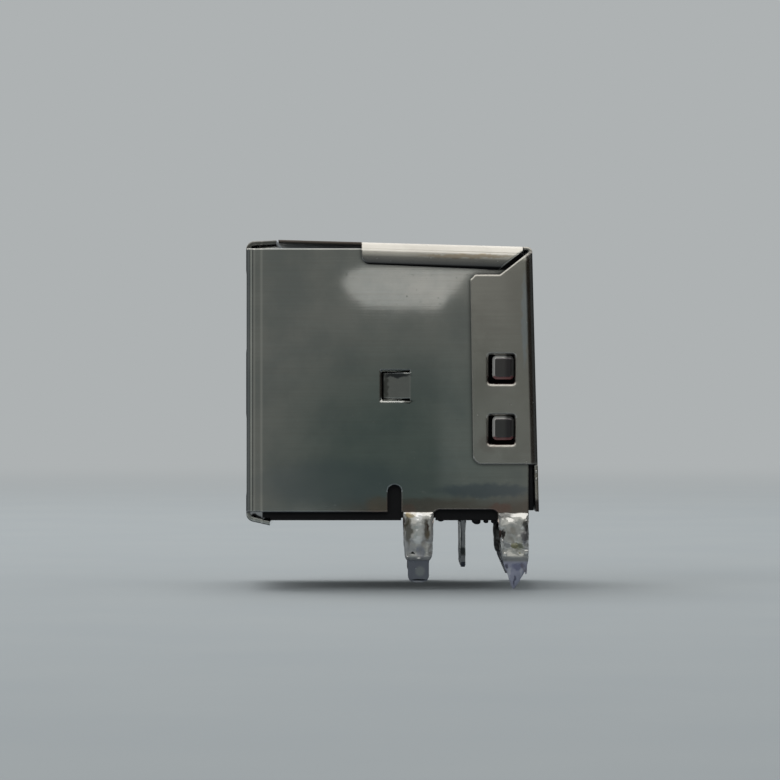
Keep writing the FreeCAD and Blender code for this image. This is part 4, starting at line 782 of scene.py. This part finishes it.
# Matt paper sweep: its fine tooth only breaks the light a little, and far off it runs into
# the pale surround with no edge.
def paperFloor(look):
    finish, tree = newFinish("mattPaper")
    spot = addNode(tree, "ShaderNodeTexCoord").outputs["Object"]
    tooth = addNode(tree, "ShaderNodeTexNoise", {}, {
        "Vector": spot, "Scale": across(look["toothSize"]), "Detail": 5})
    colour = paint(tree, linear(look["floor"]), linear(look["pale"]), [], tooth.outputs["Fac"])
    paper = addNode(tree, "ShaderNodeBsdfDiffuse", {}, {"Color": colour})
    glow = addNode(tree, "ShaderNodeEmission", {}, {"Color": linear(look["pale"]), "Strength": 1})
    far = addNode(tree, "ShaderNodeVectorMath", {"operation": "LENGTH"}, {0: spot})
    fade = addNode(tree, "ShaderNodeMapRange", {"interpolation_type": "SMOOTHERSTEP"}, {
        "Value": far.outputs["Value"], "From Min": look["fade"][0] * mm,
        "From Max": look["fade"][1] * mm})
    both = addNode(tree, "ShaderNodeMixShader", {}, {
        0: fade.outputs["Result"], 1: paper.outputs["BSDF"], 2: glow.outputs["Emission"]})
    addNode(tree, "ShaderNodeOutputMaterial", {}, {"Surface": both.outputs["Shader"]})
    return finish


bpy.ops.object.select_all(action="DESELECT")
bpy.ops.mesh.primitive_circle_add(vertices=96, radius=studio["floorSize"] * mm, fill_type="NGON",
                                  location=(0, 0, studio["floorZ"] * mm))
floor = bpy.context.object
floor.name = "floor"
floor.data.materials.append(paperFloor(studio))

world = bpy.data.worlds.new("paleSurround")
world.use_nodes = True
world.node_tree.nodes.clear()
surround = addNode(world.node_tree, "ShaderNodeBackground", {}, {
    "Color": linear(studio["pale"]), "Strength": studio["worldStrength"]})
addNode(world.node_tree, "ShaderNodeOutputWorld", {}, {"Surface": surround.outputs["Background"]})
scene.world = world

for name in ("key", "fill"):
    look = studio[name]
    place = Vector(look["place"]) * mm
    bpy.ops.object.light_add(type="AREA", location=place)
    lamp = bpy.context.object
    lamp.name = name + "Lamp"
    lamp.data.size = look["size"] * mm
    lamp.data.energy = look["power"]
    aim = Vector((0, 0, studio["aimZ"])) * mm - place
    lamp.rotation_euler = aim.to_track_quat("-Z", "Y").to_euler()

# Cards that only the gloss sees: a dim tent with a bright lid round the object, darkest low
# in front, a dark sheet under it, and the shape of a window hung in front
tent = {
    "radius": 128, "top": 58, "low": -4.1, "cloth": "#303436",
    "zones": [  # tone, middle, reach from none to full, edges along y and z
        ("#777976", (128, 0, 8), (80, 30), []), ("#6A6E70", (0, -128, 8), (80, 30), []),
        ("#6A6E70", (-128, 0, 8), (80, 30), []), ("#4A4E50", (0, 128, 8), (80, 30), []),
        ("#2E2A26", (92, 88, 8), (75, 40), []), ("#A2A4A0", (88, -93, 10), (42, 8), []),
        ("#56605D", (126, -1.5, 1.5), (15, 3), []),
        ("#6F7673", (126, -1.5, 1.5), (15, 3), [("Y", 2.2, 3.6), ("Z", -1.4, -0.2)]),
        ("#B9B9B4", (128, 0, 8), (80, 55), [("Z", 26, 34)])],
    "lid": "#FFFDFA", "lidStrength": 1.35, "sheet": "#343A42", "sheetY": -1.7,
    "sheetLift": 0.03, "sheetRadius": 50, "sheetFade": (14, 48), "window": "#FFFDF9",
    "windowStrength": 0.6, "windowX": 127,
    "windowOutline": [(-5.92, 17.43), (-5.4, 18.42), (-4.22, 18.9), (8.3, 18.9), (7.9, 18.4),
                      (5.5, 18.35), (4.8, 17.4), (2.88, 15.27), (-3.95, 15.27), (-5.12, 16.08)],
}


def glossOnly(card, name, finish):
    card.name = name
    card.data.materials.append(finish)
    for ray in ("camera", "diffuse", "shadow", "transmission", "volume_scatter"):
        setattr(card, "visible_" + ray, False)


def tentFinish(look):
    finish, tree = newFinish("tentCloth")
    spot = addNode(tree, "ShaderNodeTexCoord").outputs["Object"]
    inMm = addNode(tree, "ShaderNodeVectorMath", {"operation": "SCALE"}, {
        0: spot, "Scale": 1 / mm}).outputs["Vector"]
    place = addNode(tree, "ShaderNodeSeparateXYZ", {}, {"Vector": inMm})
    colour = linear(look["cloth"])
    for tone, middle, reach, edges in look["zones"]:
        far = addNode(tree, "ShaderNodeVectorMath", {"operation": "DISTANCE"}, {
            0: inMm, 1: middle})
        limits = [(place.outputs[axis], start, end) for axis, start, end in edges]
        colour = paint(tree, colour, linear(tone), limits + [(far.outputs["Value"], *reach)])
    glow = addNode(tree, "ShaderNodeEmission", {}, {"Color": colour, "Strength": 1})
    addNode(tree, "ShaderNodeOutputMaterial", {}, {"Surface": glow.outputs["Emission"]})
    return finish


def sheetFinish(look):  # painted shade under the object, seen only in reflections, open at its rim
    finish, tree = newFinish("darkSheet")
    spot = addNode(tree, "ShaderNodeTexCoord").outputs["Object"]
    far = addNode(tree, "ShaderNodeVectorMath", {"operation": "LENGTH"}, {0: spot})
    start, end = look["sheetFade"]
    rim = inside(tree, [(far.outputs["Value"], start * mm, end * mm)])
    glow = addNode(tree, "ShaderNodeEmission", {}, {"Color": linear(look["sheet"]), "Strength": 1})
    clear = addNode(tree, "ShaderNodeBsdfTransparent")
    both = addNode(tree, "ShaderNodeMixShader", {}, {
        0: rim, 1: glow.outputs["Emission"], 2: clear.outputs["BSDF"]})
    addNode(tree, "ShaderNodeOutputMaterial", {}, {"Surface": both.outputs["Shader"]})
    return finish


bpy.ops.object.select_all(action="DESELECT")
bpy.ops.mesh.primitive_cylinder_add(
    vertices=96, radius=tent["radius"] * mm, depth=(tent["top"] - tent["low"]) * mm,
    end_fill_type="NOTHING", location=(0, 0, (tent["top"] + tent["low"]) / 2 * mm))
bpy.ops.object.transform_apply(location=True, rotation=True, scale=True)
glossOnly(bpy.context.object, "tentSides", tentFinish(tent))
bpy.ops.object.select_all(action="DESELECT")
bpy.ops.mesh.primitive_circle_add(vertices=96, radius=tent["radius"] * mm, fill_type="NGON",
                                  location=(0, 0, tent["top"] * mm))
glossOnly(bpy.context.object, "tentLid", glowFinish("tentLid", tent["lid"], tent["lidStrength"]))
bpy.ops.object.select_all(action="DESELECT")
bpy.ops.mesh.primitive_circle_add(vertices=96, radius=tent["sheetRadius"] * mm, fill_type="NGON",
                                  location=(0, 0, 0))
sheet = bpy.context.object
sheet.location = (0, tent["sheetY"] * mm, (studio["floorZ"] + tent["sheetLift"]) * mm)
glossOnly(sheet, "darkSheet", sheetFinish(tent))
bpy.ops.object.select_all(action="DESELECT")
bpy.ops.mesh.primitive_circle_add(vertices=len(tent["windowOutline"]), radius=mm, fill_type="NGON",
                                  location=(0, 0, 0))
windowCard = bpy.context.object
for point, (y, z) in zip(windowCard.data.vertices, tent["windowOutline"]):
    point.co = Vector((tent["windowX"], y, z)) * mm
windowGlow = glowFinish("windowCard", tent["window"], tent["windowStrength"])
glossOnly(windowCard, "windowCard", windowGlow)

photo = {"place": (246.5, -1.7, 7.81), "turn": (90, 0, 90), "lens": 185, "sensor": 36, "near": 10}
bpy.ops.object.camera_add(location=Vector(photo["place"]) * mm,
                          rotation=[math.radians(angle) for angle in photo["turn"]])
camera = bpy.context.object
camera.data.lens = photo["lens"]
camera.data.sensor_width = photo["sensor"]
camera.data.clip_start = photo["near"] * mm
scene.camera = camera
scene.view_settings.view_transform = "Standard"
print("stage: studio ready")
